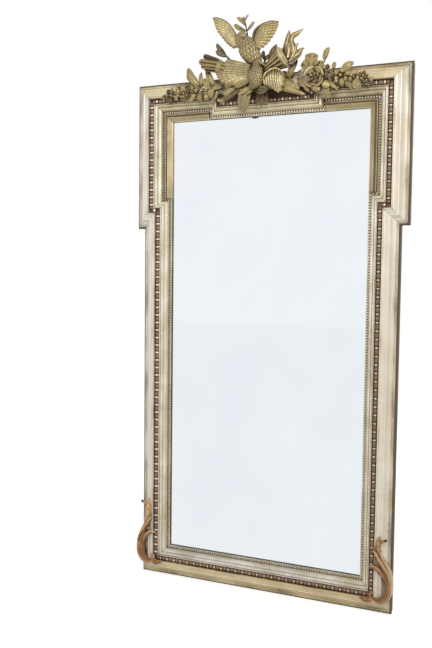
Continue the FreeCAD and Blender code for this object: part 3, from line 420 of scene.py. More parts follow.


# Rubbed, leaf, bole and shade; then mottle, dirt and painted shade, losses, reach of that darkening, cast, drift,
# laps, one relief.
GILDINGS = {
    "outer_gilding": ((240, 236, 224), (223, 217, 203), (88, 72, 56), (209, 194, 163), .2, .3, .2, .006, .15, .45, .45),
    "outer_top_gilding": (
        (232, 220, 186), (216, 203, 168), (70, 52, 34), (176, 152, 106), .25, .4, .2, .006, .25, .6, .4),
    "outer_bottom_gilding": (
        (234, 222, 194), (216, 198, 158), (58, 46, 28), (196, 172, 126), .25, .35, .2, .006, .25, .4, .4),
    "inner_gilding": ((244, 234, 220), (192, 183, 154), (88, 74, 50), (166, 156, 118), .24, .4, .25, .006, .3, .6, .4),
    "inner_top_gilding": ((226, 214, 182), (184, 172, 136), (72, 56, 30), (134, 114, 74), .25, .4, .2, .006, .3, 1, .4),
    "inner_bottom_gilding": (
        (226, 220, 212), (170, 162, 150), (84, 74, 60), (168, 156, 118), .34, .35, .25, .006, .45, .3, .4),
    "fill_gilding": ((214, 201, 166), (166, 151, 116), (92, 74, 44), (150, 128, 84), .25, .4, .15, .006, .5, .5, 0),
    "bead_gilding": ((255, 238, 216), (160, 130, 104), (96, 72, 54), (120, 96, 72), .3, .22, .15, .008, .25, .8, 0),
    "scroll_gilding": ((244, 216, 176), (194, 148, 100), (74, 44, 26), (146, 104, 58), .45, .7, .25, .012, .45, .8, 0),
    # The crest's dirt and its reach are high: the darkening of closed-in spots paints shade between its carved forms.
    "crest_gilding": ((234, 218, 168), (158, 139, 88), (58, 36, 8), (138, 124, 92), .42, 1.4, .15, .02, .8, 0, 0),
    "frieze_bole": ((150, 122, 100), (112, 88, 70), (62, 44, 34), (98, 76, 62), .45, .3, .25, .012, .5, 0, 0, .45),
    "frieze_top_bole": ((140, 106, 88), (98, 68, 54), (52, 34, 28), (84, 58, 52), .45, .5, .25, .012, .5, 0, 0, .42),
    "backing_gilding": ((190, 170, 120), (140, 120, 78), (70, 50, 34), (120, 96, 70), .5, .6, .3, .015, .6, 0, 0, .35),
}
finishes = {name: gilded(name, *row) for name, row in GILDINGS.items()}

# Pale wood, dark wood, lumps of the grain to a metre along x, y and z, stain.
WOODS = {
    "carcass_wood": ((176, 140, 98), (104, 74, 46), (60.0, 60.0, 3.0), 0.6),
    "rail_wood": ((170, 134, 94), (98, 70, 44), (3.0, 60.0, 60.0), 0.6),
    "back_wood": ((150, 116, 80), (88, 64, 44), (26.0, 26.0, 1.6), 0.7),
}
for name, (pale, dark, run, stain) in WOODS.items():
    finishes[name] = finish(name, timber, *WOOD_BUMP, Pale=tone(*pale), Dark=tone(*dark), Run=run, Stain=stain)
finishes["brass"] = finish("brass", patina, 0.3, 0.0002, Bright=tone(196, 160, 92), Tarnish=tone(104, 80, 46), Age=0.45)
finishes["iron"] = finish("iron", patina, 0.4, 0.0002, Bright=tone(120, 116, 110), Tarnish=tone(74, 52, 40), Age=0.6)

silvering = bpy.data.materials.new("mirror")
silvering.use_nodes = True
tree = silvering.node_tree
shader = tree.nodes["Principled BSDF"].inputs
calc, step, mix, cloud = tools(tree)
place = object_place(tree)
haze = cloud(place, 3.0, 4.0, 0.55)
spots = calc("MULTIPLY", step(cloud(place, 160.0, 3.0, 0.5), 0.74, 0.78), 0.25)
colour = mix(step(haze, 0.35, 0.7), tone(239, 244, 247), tone(234, 240, 245))
feed(tree, 1.0, shader["Metallic"])
feed(tree, mix(spots, colour, tone(120, 118, 110)), shader["Base Color"])
feed(tree, step(haze, 0.3, 0.8, 0.015, 0.05), shader["Roughness"])
finishes["mirror"] = silvering
print("materials", len(bpy.data.materials))

# %% [markdown]
# ## Mouldings
# On the bench a moulding is one long section, planed or run in gesso, then cut to its mitres. The same happens
# here: a section is a row of (across, up) shares with a relief for each, and it travels from one corner of the
# frame's outline to the next. A corner is a straight line in the distance from the sight edge, so every point of
# the section finds its own mitre. The three outlines differ: the inner one steps in at the ears and drops at the
# middle of the top, the outer one only has the ears, and the corner fill closes the inner ear down to the glass.
# Close to a mitre the leaf has cracked and gathered dirt, so the last millimetre of a length is darker.

# %% Sizes of the frame in metres, as the joiner has them
FRAME_HEIGHT, BODY_HALF, EAR_STEP, EAR_HEIGHT = 1.830, 0.476, 0.0275, 0.526
INNER_WIDTH, FRIEZE_WIDTH, OUTER_WIDTH, DROP_HALF = 0.036, 0.0185, 0.0565, 0.216
CARCASS_THICK, INNER_RISE, FRIEZE_RISE, OUTER_RISE, FILL_RISE = 0.022, 0.035, 0.027, 0.0455, 0.0205
SECTION_WIDTH = INNER_WIDTH + FRIEZE_WIDTH + OUTER_WIDTH
OUTER_START = INNER_WIDTH + FRIEZE_WIDTH
SIGHT_HALF = BODY_HALF - SECTION_WIDTH
SIGHT_TOP = FRAME_HEIGHT - SECTION_WIDTH - EAR_STEP
EAR_JOG = FRAME_HEIGHT - EAR_HEIGHT + SECTION_WIDTH
RIDGE = CARCASS_THICK + OUTER_RISE
MITRE_REACH, MITRE_WEAR, STATION_STEP, WAVER = 0.0012, 0.55, 0.012, 0.00022


def in_room(spots, height):
    """Places (across, up from the foot) at a height over the wall, as points in the room."""
    return np.stack(np.broadcast_arrays(spots[..., 0], -height, spots[..., 1] - FRAME_HEIGHT / 2), axis=-1)


def around_frame(right):
    """Corners of the right half, (across, up), with the left half mirrored after them in reverse order."""
    right = np.array(right)
    return np.concatenate([right, right[::-1] * (-1, 1)])


def inner_corners(offset):
    """Corners of the inner outline at a distance from the sight edge, up the right side and round."""
    side, head = SIGHT_HALF + offset, SIGHT_TOP + EAR_STEP + offset
    jog, half_drop = EAR_JOG - offset, DROP_HALF - offset
    return around_frame([
        (side, SECTION_WIDTH - offset), (side, jog), (side + EAR_STEP, jog), (side + EAR_STEP, head),
        (half_drop, head), (half_drop, SIGHT_TOP + offset)])


def outer_corners(offset):
    """Corners of the outer outline, which has ears but a straight top."""
    side, head, jog = SIGHT_HALF + offset, SIGHT_TOP + EAR_STEP + offset, EAR_JOG - offset
    return around_frame([
        (side, SECTION_WIDTH - offset), (side, jog), (side + EAR_STEP, jog), (side + EAR_STEP, head)])


def fill_corners(offset):
    """Corners of the fill in the right ear."""
    side, head = SIGHT_HALF + offset, SIGHT_TOP + offset
    return np.array([(side, EAR_JOG), (side, head), (DROP_HALF, head)])


def section(steps, width, rise, fine=9):
    """Points of a section as (across, height, relief). A step (across, up, relief) is straight. A step (middle
    across, middle up, across, up, relief) bends through its middle point: the parabola through three points."""
    rows = [steps[0]]
    for step in steps[1:]:
        here, there = np.array(rows[-1]), np.array(step[-3:])
        share = np.linspace(0, 1, fine if len(step) == 5 else 3)[1:, None]
        bend = np.array((*step[:2], (here[2] + there[2]) / 2)) if len(step) == 5 else (here + there) / 2
        between = here * (1 - share) * (1 - 2 * share) + 4 * bend * share * (1 - share)
        rows += [tuple(row) for row in between + there * share * (2 * share - 1)]
    return np.array(rows) * (width, rise, 1)


def length(corners, index, low, profile):
    """One mitred length: every point of the section runs from its corner to the next. Its height has a slow
    hand-made waver, a sum of three sines of the place along the wall. Its wear drifts with two more sines, and
    close to a mitre it is worn down."""
    outlines = np.array([corners(low + across) for across in profile[:, 0]])
    begin, end = outlines[:, index], np.roll(outlines, -1, axis=1)[:, index]
    longest = np.abs(end - begin).sum(axis=1).max()
    mitre = MITRE_REACH / longest
    even = np.linspace(0, 1, max(4, int(longest / STATION_STEP)))[1:-1]
    share = np.concatenate([[0, mitre], even, [1 - mitre, 1]])[:, None, None]
    flat = begin * (1 - share) + end * share
    run = flat.sum(axis=2)
    waver = np.sin(run * 31) + 0.6 * np.sin(run * 73 + 1) + 0.4 * np.sin(run * 147 + 2)
    height = profile[:, 1] + np.where(profile[:, 1] > 0.3 * profile[:, 1].max(), WAVER, 0) * waver
    wear = profile[:, 2] + 0.06 * np.sin(run * 17 + profile[:, 0] * 90) + 0.05 * np.sin(run * 41)
    wear[[0, -1]] -= MITRE_WEAR
    along = np.abs(end - begin)[0]
    return skin(in_room(flat, CARCASS_THICK + height), wear, flat @ (along / along.sum()))


def mirrored(skins):
    """The same skins on the other side of the middle."""
    return [skin(points * (-1, 1, 1), relief, run) for points, relief, run in skins]


# Past nine tenths of the width the outer side has reliefs at and below 0: painted shade, a dark edge on the side that
# faces away from the light.
OUTER_STEPS = (
    (0, 0, 0.24), (0, 0.84, 0.3), (0.012, 0.93, 0.42), (0.035, 1, 0.52), (0.075, 0.995, 0.5), (0.09, 0.97, 0.35),
    (0.22, 0.915, 0.33, 0.77, 0.95), (0.342, 0.745, 0.62), (0.358, 0.745, 0.8), (0.395, 0.785, 0.435, 0.73, 0.95),
    (0.445, 0.715, 0.5), (0.458, 0.69, 0.4), (0.468, 0.675, 0.95), (0.545, 0.455, 0.68, 0.355, 0.4),
    (0.755, 0.325, 0.36), (0.768, 0.315, 0), (0.785, 0.33, 0.36), (0.835, 0.345, 0.36), (0.85, 0.34, 0),
    (0.864, 0.345, 0.36), (0.886, 0.335, 0.32), (0.896, 0.33, 0), (0.925, 0.3, -0.05), (0.97, 0.255, -0.15),
    (1, 0.2, -0.2), (1, 0.1, -0.15), (1, 0, -0.15),
)
INNER_STEPS = (
    (0, 0, 0), (0, 0.155, 0.1), (0.015, 0.175, 0.62), (0.1, 0.19, 0.62), (0.115, 0.14, 0.34), (0.265, 0.14, 0.38),
    (0.28, 0.3, 0.45), (0.36, 0.53, 0.58, 0.64, 0.8), (0.625, 0.64, 0.88), (0.632, 0.6, 0.5), (0.655, 0.605, 0.72),
    (0.79, 0.875, 0.925, 0.82, 0.88), (0.935, 0.85, 0.72), (0.935, 0.96, 0.85), (0.955, 1, 0.92), (0.99, 1, 0.75),
    (1, 0.97, 0.3), (1, 0, 0.1),
)
FILL_STEPS = (
    (0, 0, 0.4), (0, 0.3, 0.55), (0.015, 0.36, 0.85), (0.09, 0.4, 0.7), (0.11, 0.38, 0.35), (0.14, 0.4, 0.5),
    (0.36, 0.6, 0.54, 0.8, 0.62), (0.58, 0.83, 0.8), (0.61, 0.78, 0.05), (0.7, 0.64, -0.05), (0.83, 0.62, 0),
    (0.86, 0.7, 0.8), (0.9, 0.76, 1), (0.945, 0.72, 0.8), (0.965, 0.62, 0.1), (1, 0.66, 0.1), (1, 0, 0.1),
)
outer_section = section(OUTER_STEPS, OUTER_WIDTH, OUTER_RISE)
inner_section = section(INNER_STEPS, INNER_WIDTH, INNER_RISE)
fill_section = section(FILL_STEPS, EAR_STEP, FILL_RISE)
print("section points", len(outer_section), len(inner_section), len(fill_section))

# %% Run the outer moulding, the inner moulding and the fills
def outer_length(index):
    """The outer length that starts at a corner."""
    return length(outer_corners, index, OUTER_START, outer_section)


def inner_length(index):
    """The inner length that starts at a corner."""
    return length(inner_corners, index, 0, inner_section)


# Corners are numbered up the right side, over the top and down the left side.
for side_name, flip in (("right", list), ("left", mirrored)):
    for index, name in enumerate(("side", "return", "ear")):
        end = f"{name}_{side_name}"
        carve(f"outer_length_{end}", flip([outer_length(index)]), "outer_gilding", [f"outer_moulding_{end}"])
        carve(f"inner_length_{end}", flip([inner_length(index)]), "inner_gilding", [f"inner_moulding_{end}"])
    carve(f"inner_length_top_{side_name}", flip([inner_length(3), inner_length(4)]), "inner_top_gilding",
          [f"inner_moulding_top_{side_name}"])
    fill = [length(fill_corners, index, 0, fill_section) for index in (0, 1)]
    carve(f"ear_fill_{side_name}", flip(fill), "fill_gilding", [f"corner_fill_{side_name}"])
for name, index in (("top", 3), ("bottom", 7)):
    carve(f"outer_length_{name}", [outer_length(index)], f"outer_{name}_gilding", [f"outer_moulding_{name}"])
for name, index, gold in (("top_middle", 5, "inner_top_gilding"), ("bottom", 11, "inner_bottom_gilding")):
    carve(f"inner_length_{name}", [inner_length(index)], gold, [f"inner_moulding_{name}"])

# %% [markdown]
# ## Pearls and the bead string
# Two turned ornaments run round the glass. Small pearls lie in the quirk beside the sight edge, about nine
# millimetres apart. In the dark frieze lies the large string: bright round beads with dull olives between them.
# Both are repeated hundreds of times, so each has only a few dozen faces. A pearl is a low dome copied to all its
# places by one sum of arrays. The string is one surface: its radius is a function of the place along it.

# %% Set the pearls
PEARL_RADIUS, PEARL_PITCH, PEARL_OFFSET, PEARL_LIFT = 0.0036, 0.0092, 0.0068, 0.0014
QUIRK_HEIGHT = CARCASS_THICK + 0.14 * INNER_RISE
PEARL_RUB_AND_HIGHLIGHT = (0.60,) * 3 + (0.95,) * 5 + (0.37,) * 4


def pearl_row(index, rub_and_highlight):
    """Domes along one straight: rings at four latitudes of a sphere, moved to every place by broadcasting. Their
    tops are paler by the given amount: partly rubbed leaf, partly a painted highlight."""
    outline = inner_corners(PEARL_OFFSET)
    begin, end = outline[index], np.roll(outline, -1, axis=0)[index]
    count = max(1, int(np.abs(end - begin).sum() / PEARL_PITCH))
    share = (np.arange(count) + 0.5) / count
    centres = in_room(begin + (end - begin) * share[:, None], QUIRK_HEIGHT + PEARL_LIFT)
    latitude = np.radians((-25, 15, 50, 78))[:, None]
    turn = np.linspace(0, 2 * np.pi, 8, endpoint=False)
    ring = np.stack(np.broadcast_arrays(
        np.cos(latitude) * np.cos(turn), -np.sin(latitude), np.cos(latitude) * np.sin(turn)), axis=-1)
    relief = 0.2 + rub_and_highlight * np.array((0, 0.6, 1, 1))[:, None]
    return [skin(ring * PEARL_RADIUS + centre, relief) for centre in centres]


# The amounts are for the right side, then the top, then the left side and the bottom; they differ by side as the
# pearls' painted highlight does.
pearls = [pearl for index, rub_and_highlight in enumerate(PEARL_RUB_AND_HIGHLIGHT) for pearl in pearl_row(index, rub_and_highlight)]
carve("pearl_row", pearls, "inner_gilding")

# %% Turn the bead string
BEAD_PITCH, BEAD_HALF, BEAD_RADIUS, OLIVE_RADIUS, BEAD_LIFT = 0.0279, 0.0041, 0.0092, 0.0086, 0.0028
BEAD_FLAT, BEAD_INSET, OLIVE_HIGHLIGHT = 0.86, 0.0075, 0.42
EVEN_RUB_AND_HIGHLIGHT, CROWN_RUB_AND_HIGHLIGHT = (0.50, 1.5), (0.12, 6)


def bead_radius(place, pitch):
    """Radius along the string. Within half a bead of its middle it is a full round, the square root of one less
    the square of the share; between beads it is an olive, a flat arch with necks at both ends."""
    local = (place / pitch) % 1 * pitch - pitch / 2
    bead = np.clip(1 - (np.abs(local) / BEAD_HALF) ** 2.6, 0, 1) ** 0.42 * BEAD_RADIUS
    reach = (np.abs(local) - BEAD_HALF) / (pitch / 2 - BEAD_HALF)
    olive = OLIVE_RADIUS * (0.62 + 0.38 * np.clip(reach, 0, 1) ** 0.5)
    return np.where(np.abs(local) < BEAD_HALF, np.maximum(bead, OLIVE_RADIUS * 0.5), olive)


def bead_line(begin, end, rubbed):
    """A string from one point of the frieze to another. It is more than half round and stands a little proud, so
    its foot still rests on the board, and its rings lie closer where a bead meets an olive. Rubbed is how bright a
    bead is at its foot and how fast that rises to its top: partly rubbed leaf, partly a painted highlight. The
    olives are paler at their middles and fronts, a painted highlight, and dark at their necks, painted shade."""
    span = np.abs(end - begin).sum()
    line = (end - begin) / span
    count = max(1, round(span / BEAD_PITCH))
    pitch = span / count
    local = np.array((-0.5, -0.38, -0.26, -0.175, -0.150, -0.145, -0.105, -0.050))
    local = np.concatenate([local, [0.0], -local[::-1][:-1]]) + 0.5
    place = np.append((np.arange(count)[:, None] + local).ravel(), count) * pitch
    radius = bead_radius(place, pitch)[:, None]
    angle = np.linspace(-0.18, 1.18, 11) * np.pi
    spots = (begin + place[:, None] * line)[:, None] + (radius * np.cos(angle))[..., None] * (line[1], -line[0])
    height = CARCASS_THICK + FRIEZE_RISE + BEAD_LIFT + radius * np.sin(angle) * BEAD_FLAT
    middle = np.abs((place / pitch) % 1 - 0.5)[:, None]
    bead = np.clip(1 - (middle * pitch / BEAD_HALF) ** 4, 0, 1)
    olive = np.clip((middle - 0.16) / 0.34, 0, 1) ** 0.8 * OLIVE_HIGHLIGHT
    face = np.maximum(np.sin(angle), 0)
    foot, power = rubbed
    # Painted highlight on bead crowns and olive middles, painted shade at the olives' necks, over the leaf's rub.
    relief = 0.06 + 1.05 * bead * (foot + (1 - foot) * face ** power) + olive * (0.36 + 0.45 * face)
    return skin(in_room(spots, height), relief)


# The left side's beads are pale across their whole face and the rest only at their crowns: partly rubbed leaf,
# partly a painted highlight that differs by side.
middle_line = inner_corners(INNER_WIDTH + FRIEZE_WIDTH / 2)
lines = []
for index, (begin, end) in enumerate(zip(middle_line, np.roll(middle_line, -1, axis=0))):
    inset = (end - begin) / np.abs(end - begin).sum() * BEAD_INSET
    lines.append(bead_line(begin + inset, end - inset, EVEN_RUB_AND_HIGHLIGHT if 8 <= index < 11 else CROWN_RUB_AND_HIGHLIGHT))
for name, chosen in (("right", lines[0:3]), ("top", lines[3:8]), ("left", lines[8:11]), ("bottom", lines[11:])):
    carve(f"beads_{name}", chosen, "bead_gilding", [f"bead_string_{name}"], sharp=60)

# %% [markdown]
# ## Plain pieces that keep their meshes
# Carcass, boards, plate and fittings are simple solids with the right form already. They only get their finish:
# softwood whose grain runs along each piece, old brass, iron, bole on the frieze and silvering on the plate.

# %% Give the plain nodes their finishes
PLAIN = {
    "carcass_wood": "carcass_stile_left carcass_stile_right ear_block_left ear_block_right plate_wedges",
    "rail_wood": "carcass_rail_bottom carcass_rail_top",
    "back_wood": "back_board_lower back_board_upper",
    "backing_gilding": "crest_backing",
    "frieze_bole": "frieze_board_left frieze_board_right frieze_board_bottom",
    "frieze_top_bole": "frieze_board_top",
    "mirror": "mirror_plate",
    "brass": "hanger_plate_left hanger_plate_right hanging_ring_left hanging_ring_right",
    "iron": "hanger_screws crest_strap",
}
for label, names in PLAIN.items():
    for name in names.split():
        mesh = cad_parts[name].data
        mesh.materials.clear()
        mesh.materials.append(finishes[label])
print("plain nodes", sum(len(names.split()) for names in PLAIN.values()))

# %% [markdown]
# ## Helpers for carving
# The crest is laid out in whole millimetres from the middle of the frame's top edge and from the ridge of the
# moulding: across, up and forward. A carved form follows a smooth line through a few of these places. Square to
# the line there is a side, which lies in the wall's plane, and a lift, which points into the room, and the form
# is an outline swept along with both.

# %% Make the sweeping helpers
MM = 0.001
FORWARD = np.array((0.0, -1.0, 0.0))


def crest(rows, right=0.0, foot=FRAME_HEIGHT):
    """Places (across, up, forward) in millimetres, as points in the room. They start at the middle of the top
    edge, or at another place to the right and up from the foot."""
    rows = np.asarray(rows, float) * MM
    return in_room(rows[..., :2] + (right, foot), RIDGE + rows[..., 2])


def smooth(rows, count):
    """Values on a smooth curve through the rows: between two rows a cubic whose slope at each is half the step
    between its neighbours."""
    rows = np.asarray(rows, float)
    padded = np.concatenate([2 * rows[:1] - rows[1:2], rows, 2 * rows[-1:] - rows[-2:-1]])
    at = np.linspace(0, len(rows) - 1, count)
    first = np.minimum(at.astype(int), len(rows) - 2)
    f = (at - first)[:, None]
    a, b, c, d = (padded[first + k] for k in range(4))
    return 0.5 * (2 * b + (c - a) * f + (2 * a - 5 * b + 4 * c - d) * f ** 2 + (3 * b - a - 3 * c + d) * f ** 3)


def sweep(line, across, lift):
    """Points beside a line: across times the side plus lift times the lift, for grids of both."""
    along = np.gradient(line, axis=0)
    along /= np.linalg.norm(along, axis=1, keepdims=True)
    side = np.cross(FORWARD, along)
    side /= np.linalg.norm(side, axis=1, keepdims=True)
    rise = np.cross(along, side)
    return line[:, None] + across[..., None] * side[:, None] + lift[..., None] * rise[:, None]


def turns(count):
    """Even turns round a ring, as one row."""
    return np.linspace(0, 2 * np.pi, count, endpoint=False)[None]


def circle(count):
    """The cosine and sine of the turns round a ring."""
    return np.cos(turns(count)), np.sin(turns(count))


def leaf(root, tip, width, bow=0.0, arch=0.10, cup=0.22, veins=5, teeth=0, bite=0.25, thick=0.10,
         full=(0.75, 0.7), stalk=0.14, rows=40, around=24, rib=0.07, cut=0.06, edge=0.30, base=0.44):
    """A leaf or feather. Its half width is a power of the share from the root times a power of the share left,
    bitten by teeth at the edge. It bows sideways and arches forward by half a sine, and its edges rise with the
    square of the distance from the midrib. Veins are slanting grooves, the square of a raised cosine, on the front
    only, and the root lies in its own shade."""
    s = np.linspace(0, 1, rows)[:, None]
    x, z = circle(around)
    reach = tip - root
    span = np.linalg.norm(reach)
    side = np.cross(FORWARD, reach)
    side /= np.linalg.norm(side)
    line = root + reach * s + (side * bow + FORWARD * span * arch) * np.sin(np.pi * s)
    a, b = full
    peak = a / (a + b)
    body = s ** a * (1 - s) ** b / (peak ** a * (1 - peak) ** b)
    body = np.maximum(body, stalk * (1 - s) ** 0.3)
    body[-1] = 0.03
    side_share = np.abs(x)
    notch = 0.5 - 0.5 * np.cos(2 * np.pi * teeth * s + np.pi)
    half = width / 2 * body * (1 - bite * notch * (teeth > 0) * side_share ** 3)
    front = np.maximum(z, 0)
    ridge = np.exp(-(x / 0.16) ** 2) * front * (1 - s) ** 0.4
    phase = veins * (s - 0.40 * side_share * body)
    groove = (0.5 + 0.5 * np.cos(2 * np.pi * phase)) ** 2 * np.sqrt(front) * np.minimum(side_share * 4, 1)
    groove = groove * (veins > 0) * np.minimum(body * 1.5, 1)
    lift = thick * width * z * body ** 0.5 + cup * half * side_share ** 2 + rib * width * ridge - cut * width * groove
    relief = base + edge * side_share ** 4 * front + 0.30 * ridge - 6.0 * cut * groove - 0.25 * (z < 0)
    relief = relief - 0.30 * np.maximum(1 - 4 * s, 0)
    return skin(sweep(line, half * x, lift), relief)


def turned(start, end, outline, flutes=0, depth=0.06, rows=90, around=48, span=(0, 1)):
    """A turned form: its radius in millimetres goes straight from one (along, radius) pair to the next, and
    between two shares of its length flutes cut it by a raised cosine round the ring."""
    outline = np.asarray(outline, float)
    s = np.unique(np.concatenate([np.linspace(0, 1, rows), outline[:, 0]]))
    radius = np.interp(s, outline[:, 0], outline[:, 1])[:, None] * MM
    x, z = circle(around)
    zone = ((s > span[0]) & (s < span[1]))[:, None]
    cut = (0.5 + 0.5 * np.cos(flutes * turns(around))) ** 2 * zone * (flutes > 0)
    slope = np.abs(np.gradient(radius[:, 0]))[:, None]
    line = start + (end - start) * s[:, None]
    relief = 0.50 - 0.45 * cut + np.clip(slope * 120, 0, 0.3)
    return skin(sweep(line, radius * (1 - depth * cut) * x, radius * (1 - depth * cut) * z), relief)


def scales(along, share_round, rows, columns):
    """Overlapping feathers: 0 at a feather's root and 1 at its round tip. They stand in rows and every second row
    is moved by half a feather. Where the round tip of the row before still reaches, it lies on top."""
    place = along * rows
    row = np.floor(place)

    def one(back):
        offset = (share_round * columns - 0.5 * ((row - back) % 2)) % 1 - 0.5
        return (place - row + back) / (1 + 0.6 * (1 - (2 * offset) ** 2)), offset

    (upper, upper_offset), (lower, lower_offset) = one(1), one(0)
    return np.where(upper < 1, upper, lower), np.where(upper < 1, upper_offset, lower_offset)


def scaled(line, half_width, half_depth, rows=18, columns=16, amount=0.0020, zone=(0.22, 0.92), around=96):
    """A rounded body covered with small feathers: its ovals swell with each feather from root to tip, and a
    feather falls off towards its sides."""
    x, z = circle(around)
    s = np.linspace(0, 1, len(line))[:, None]
    tip, offset = scales(s, turns(around) / (2 * np.pi), rows, columns)
    here = np.clip((s - zone[0]) * 14, 0, 1) * np.clip((zone[1] - s) * 14, 0, 1)
    crown = tip - 0.9 * np.abs(2 * offset) ** 2 * tip
    out = amount * (crown - 0.3) * here
    relief = 0.50 + (0.75 * crown - 0.45) * here
    return skin(sweep(line, (half_width[:, None] + out) * x, (half_depth[:, None] + out) * z), relief)


def ball(centre, radius, stretch=(1, 1, 1), rows=9, around=14, relief=0.6):
    """A closed round: rings at even latitudes, stretched along the three directions."""
    latitude = np.linspace(-1.45, 1.45, rows)[:, None]
    x, z = circle(around)
    points = np.stack(np.broadcast_arrays(np.cos(latitude) * x, np.sin(latitude), np.cos(latitude) * z), axis=-1)
    return skin(centre + points * radius * stretch, relief)


def rosette(centre, radius, petals, rise, tilt, seed, deep=0.42):
    """A blossom cut from one disc. Its rim swings in and out with the petals, a root of a cosine, its face dips
    like a saucer and is creased between petals, and a button stands in the middle."""
    s = np.array((0.05, 0.55, 0.95, 1.0, 0.93, 0.80, 0.62, 0.45, 0.32, 0.26, 0.22, 0.12, 0.03))[:, None]
    h = np.array((-0.50, -0.45, -0.10, 0.06, 0.18, 0.16, 0.05, -0.06, -0.10, 0.12, 0.24, 0.32, 0.35))[:, None]
    turn = turns(petals * 8) + seed
    lobe = np.abs(np.cos(petals * turn / 2)) ** 0.6
    petal_zone = np.clip((s - 0.25) * 4, 0, 1)
    reach = radius * s * (1 - deep * (1 - lobe) * petal_zone)
    lift = radius * rise * (h - 0.45 * (1 - lobe) * petal_zone * (h > -0.1))
    points = np.stack([reach * np.cos(turn), -lift, reach * np.sin(turn)], axis=-1)
    points = points + FORWARD * (points @ (tilt[0], 0, tilt[1]))[..., None]
    relief = 0.05 + 0.60 * petal_zone * lobe * (h > 0) + 0.35 * (s < 0.24) * (h > 0.05)
    return skin(centre + points, relief)


def stem(rows, radius=0.0022, relief=0.12, count=28, around=10, taper=0.6):
    """A thin round stem or rolled edge along a smooth line of (across, up, forward)."""
    line = crest(smooth(rows, count))
    x, z = circle(around)
    half = np.linspace(1, taper, count)[:, None] * radius * np.minimum(np.linspace(0.4, 3, count), 1)[:, None]
    return skin(sweep(line, half * x, half * z), relief)


print("carving helpers ready")

# %% [markdown]
# ## The two doves
# The trophy's middle: one dove flies down with raised wings, its mate sits on the quiver below. A dove's body is
# a smooth line of ovals from beak to tail, covered with scale feathers. A wing starts from a short list of
# feathers, each a root on the arm and a tip in the air. A smooth curve through that list gives more of them, so
# the long flight feathers overlap in a fan. On the left wings a shorter row of coverts lies on their roots.

# %% Carve the doves
FEATHER = {"cup": -0.30, "veins": 7, "thick": 0.16, "full": (0.36, 0.16), "stalk": 0.55, "rows": 48, "around": 20,
           "rib": 0.05, "cut": 0.045, "edge": -0.50, "base": 0.62}
BEAK = ((0, 3.5), (0.35, 2.8), (0.8, 1.225), (1, 0.8))
LEAST_FEATHER, PUPIL, LID, LID_BACK = 0.009, 0.0022, 0.0032, 0.0006


def wing(feathers, count, near, far, width, reach=1.0, step=0.0009):
    """Feathers from a smooth list of (root across, up, tip across, up, bow). Their roots and tips lie near and
    far forward, and reach is the share of that way that they go. A feather is as wide as the step to its
    neighbour's tip, and lies a little over it."""
    rows = smooth(feathers, count)
    root = crest(np.column_stack([rows[:, :2], np.full(count, near)]))
    tip = crest(np.column_stack([rows[:, 2:4], np.full(count, far)]))
    tip = root + (tip - root) * reach
    gap = np.linalg.norm(np.gradient(tip, axis=0), axis=1)
    shift = FORWARD * step * np.arange(count)[:, None]
    return [leaf(*ends, max(wide * width, LEAST_FEATHER), bow * MM * reach, 0.06, **FEATHER)
            for *ends, wide, bow in zip(root + shift, tip + shift, gap, rows[:, 4])]


def dove(stations, wings, beak, eyes):
    """A body from stations (across, up, forward, half breadth, half depth), with its wings, beak and eyes."""
    rows = smooth(stations, 160)
    skins = [scaled(crest(rows[:, :3]), *rows[:, 3:].T * MM), *wings, turned(*crest(beak), BEAK, rows=14, around=14)]
    for eye in crest(eyes):
        skins += [ball(eye, PUPIL, relief=0.0), ball(eye - FORWARD * LID_BACK, LID, relief=0.45)]
    return skins


def tail(root, tips, width):
    """Tail feathers that spread from one place."""
    return [leaf(crest(root), tip, width, **FEATHER) for tip in crest(tips)]


UPPER_BODY = (
    (-41, 104, 40, 3, 3), (-47, 108, 42, 7, 7), (-57, 115, 43, 14, 13), (-67, 112, 42, 17.5, 14.5),
    (-64, 99, 40, 21, 15), (-50, 86, 38, 31, 19), (-36, 64, 38, 33, 21), (-21, 38, 35, 27, 18), (-6, 12, 30, 17, 12),
    (8, -2, 26, 6, 4),
)
UPPER_LEFT_WING = (
    (-84, 114, -178, 193, -14), (-84, 110, -172, 176, -10), (-83, 106, -164, 158, -6), (-81, 102, -150, 140, -4),
    (-79, 98, -135, 122, -2), (-76, 94, -120, 105, 0), (-72, 90, -102, 90, 0),
)
UPPER_RIGHT_WING = (
    (-25, 114, 63, 153, 14), (-25, 108, 64, 144, 11), (-26, 103, 61, 134, 9), (-26, 99, 54, 121, 7),
    (-26, 95, 45, 107, 5), (-25, 91, 34, 93, 3), (-24, 87, 22, 81, 2), (-22, 83, 6, 72, 0),
)
LOWER_BODY = (
    (20, 11, 50, 3, 3), (13, 15, 52, 7, 7), (3, 17, 53, 13.5, 12), (-2, 7, 53, 16, 13), (-3, -6, 52, 21, 16),
    (-8, -22, 49, 30, 21), (-14, -36, 44, 29, 19), (-27, -47, 34, 17, 11), (-42, -52, 26, 8, 5),
)
LOWER_LEFT_WING = (
    (-24, 10, -122, 40, 2), (-24, 4, -136, 29, 2), (-23, -2, -148, 15, 2), (-22, -8, -156, 1, 1),
    (-22, -14, -154, -12, 0), (-22, -20, -144, -24, -2), (-24, -26, -128, -35, -4), (-26, -32, -90, -40, -4),
)
LOWER_RIGHT_WING = (
    (20, -34, 25, -55, 0), (30, -24, 36, -60, -1), (40, -16, 48, -66, -2), (51, -11, 60, -74, -3),
    (62, -10, 71, -83, -4), (73, -13, 79, -84, -5), (81, -19, 87, -68, -5), (87, -27, 92, -48, -4),
)
WING_EDGES = (
    ((-86, 104, 36), (-100, 134, 36), (-128, 166, 33), (-179, 194, 29)),
    ((-26, 92, 38), (-20, 127, 38), (4, 148, 35), (38, 157, 32), (64, 153, 29)),
    ((18, -40, 50), (26, -22, 54), (44, -9, 54), (62, -5, 53), (80, -13, 51), (91, -30, 48)),
)
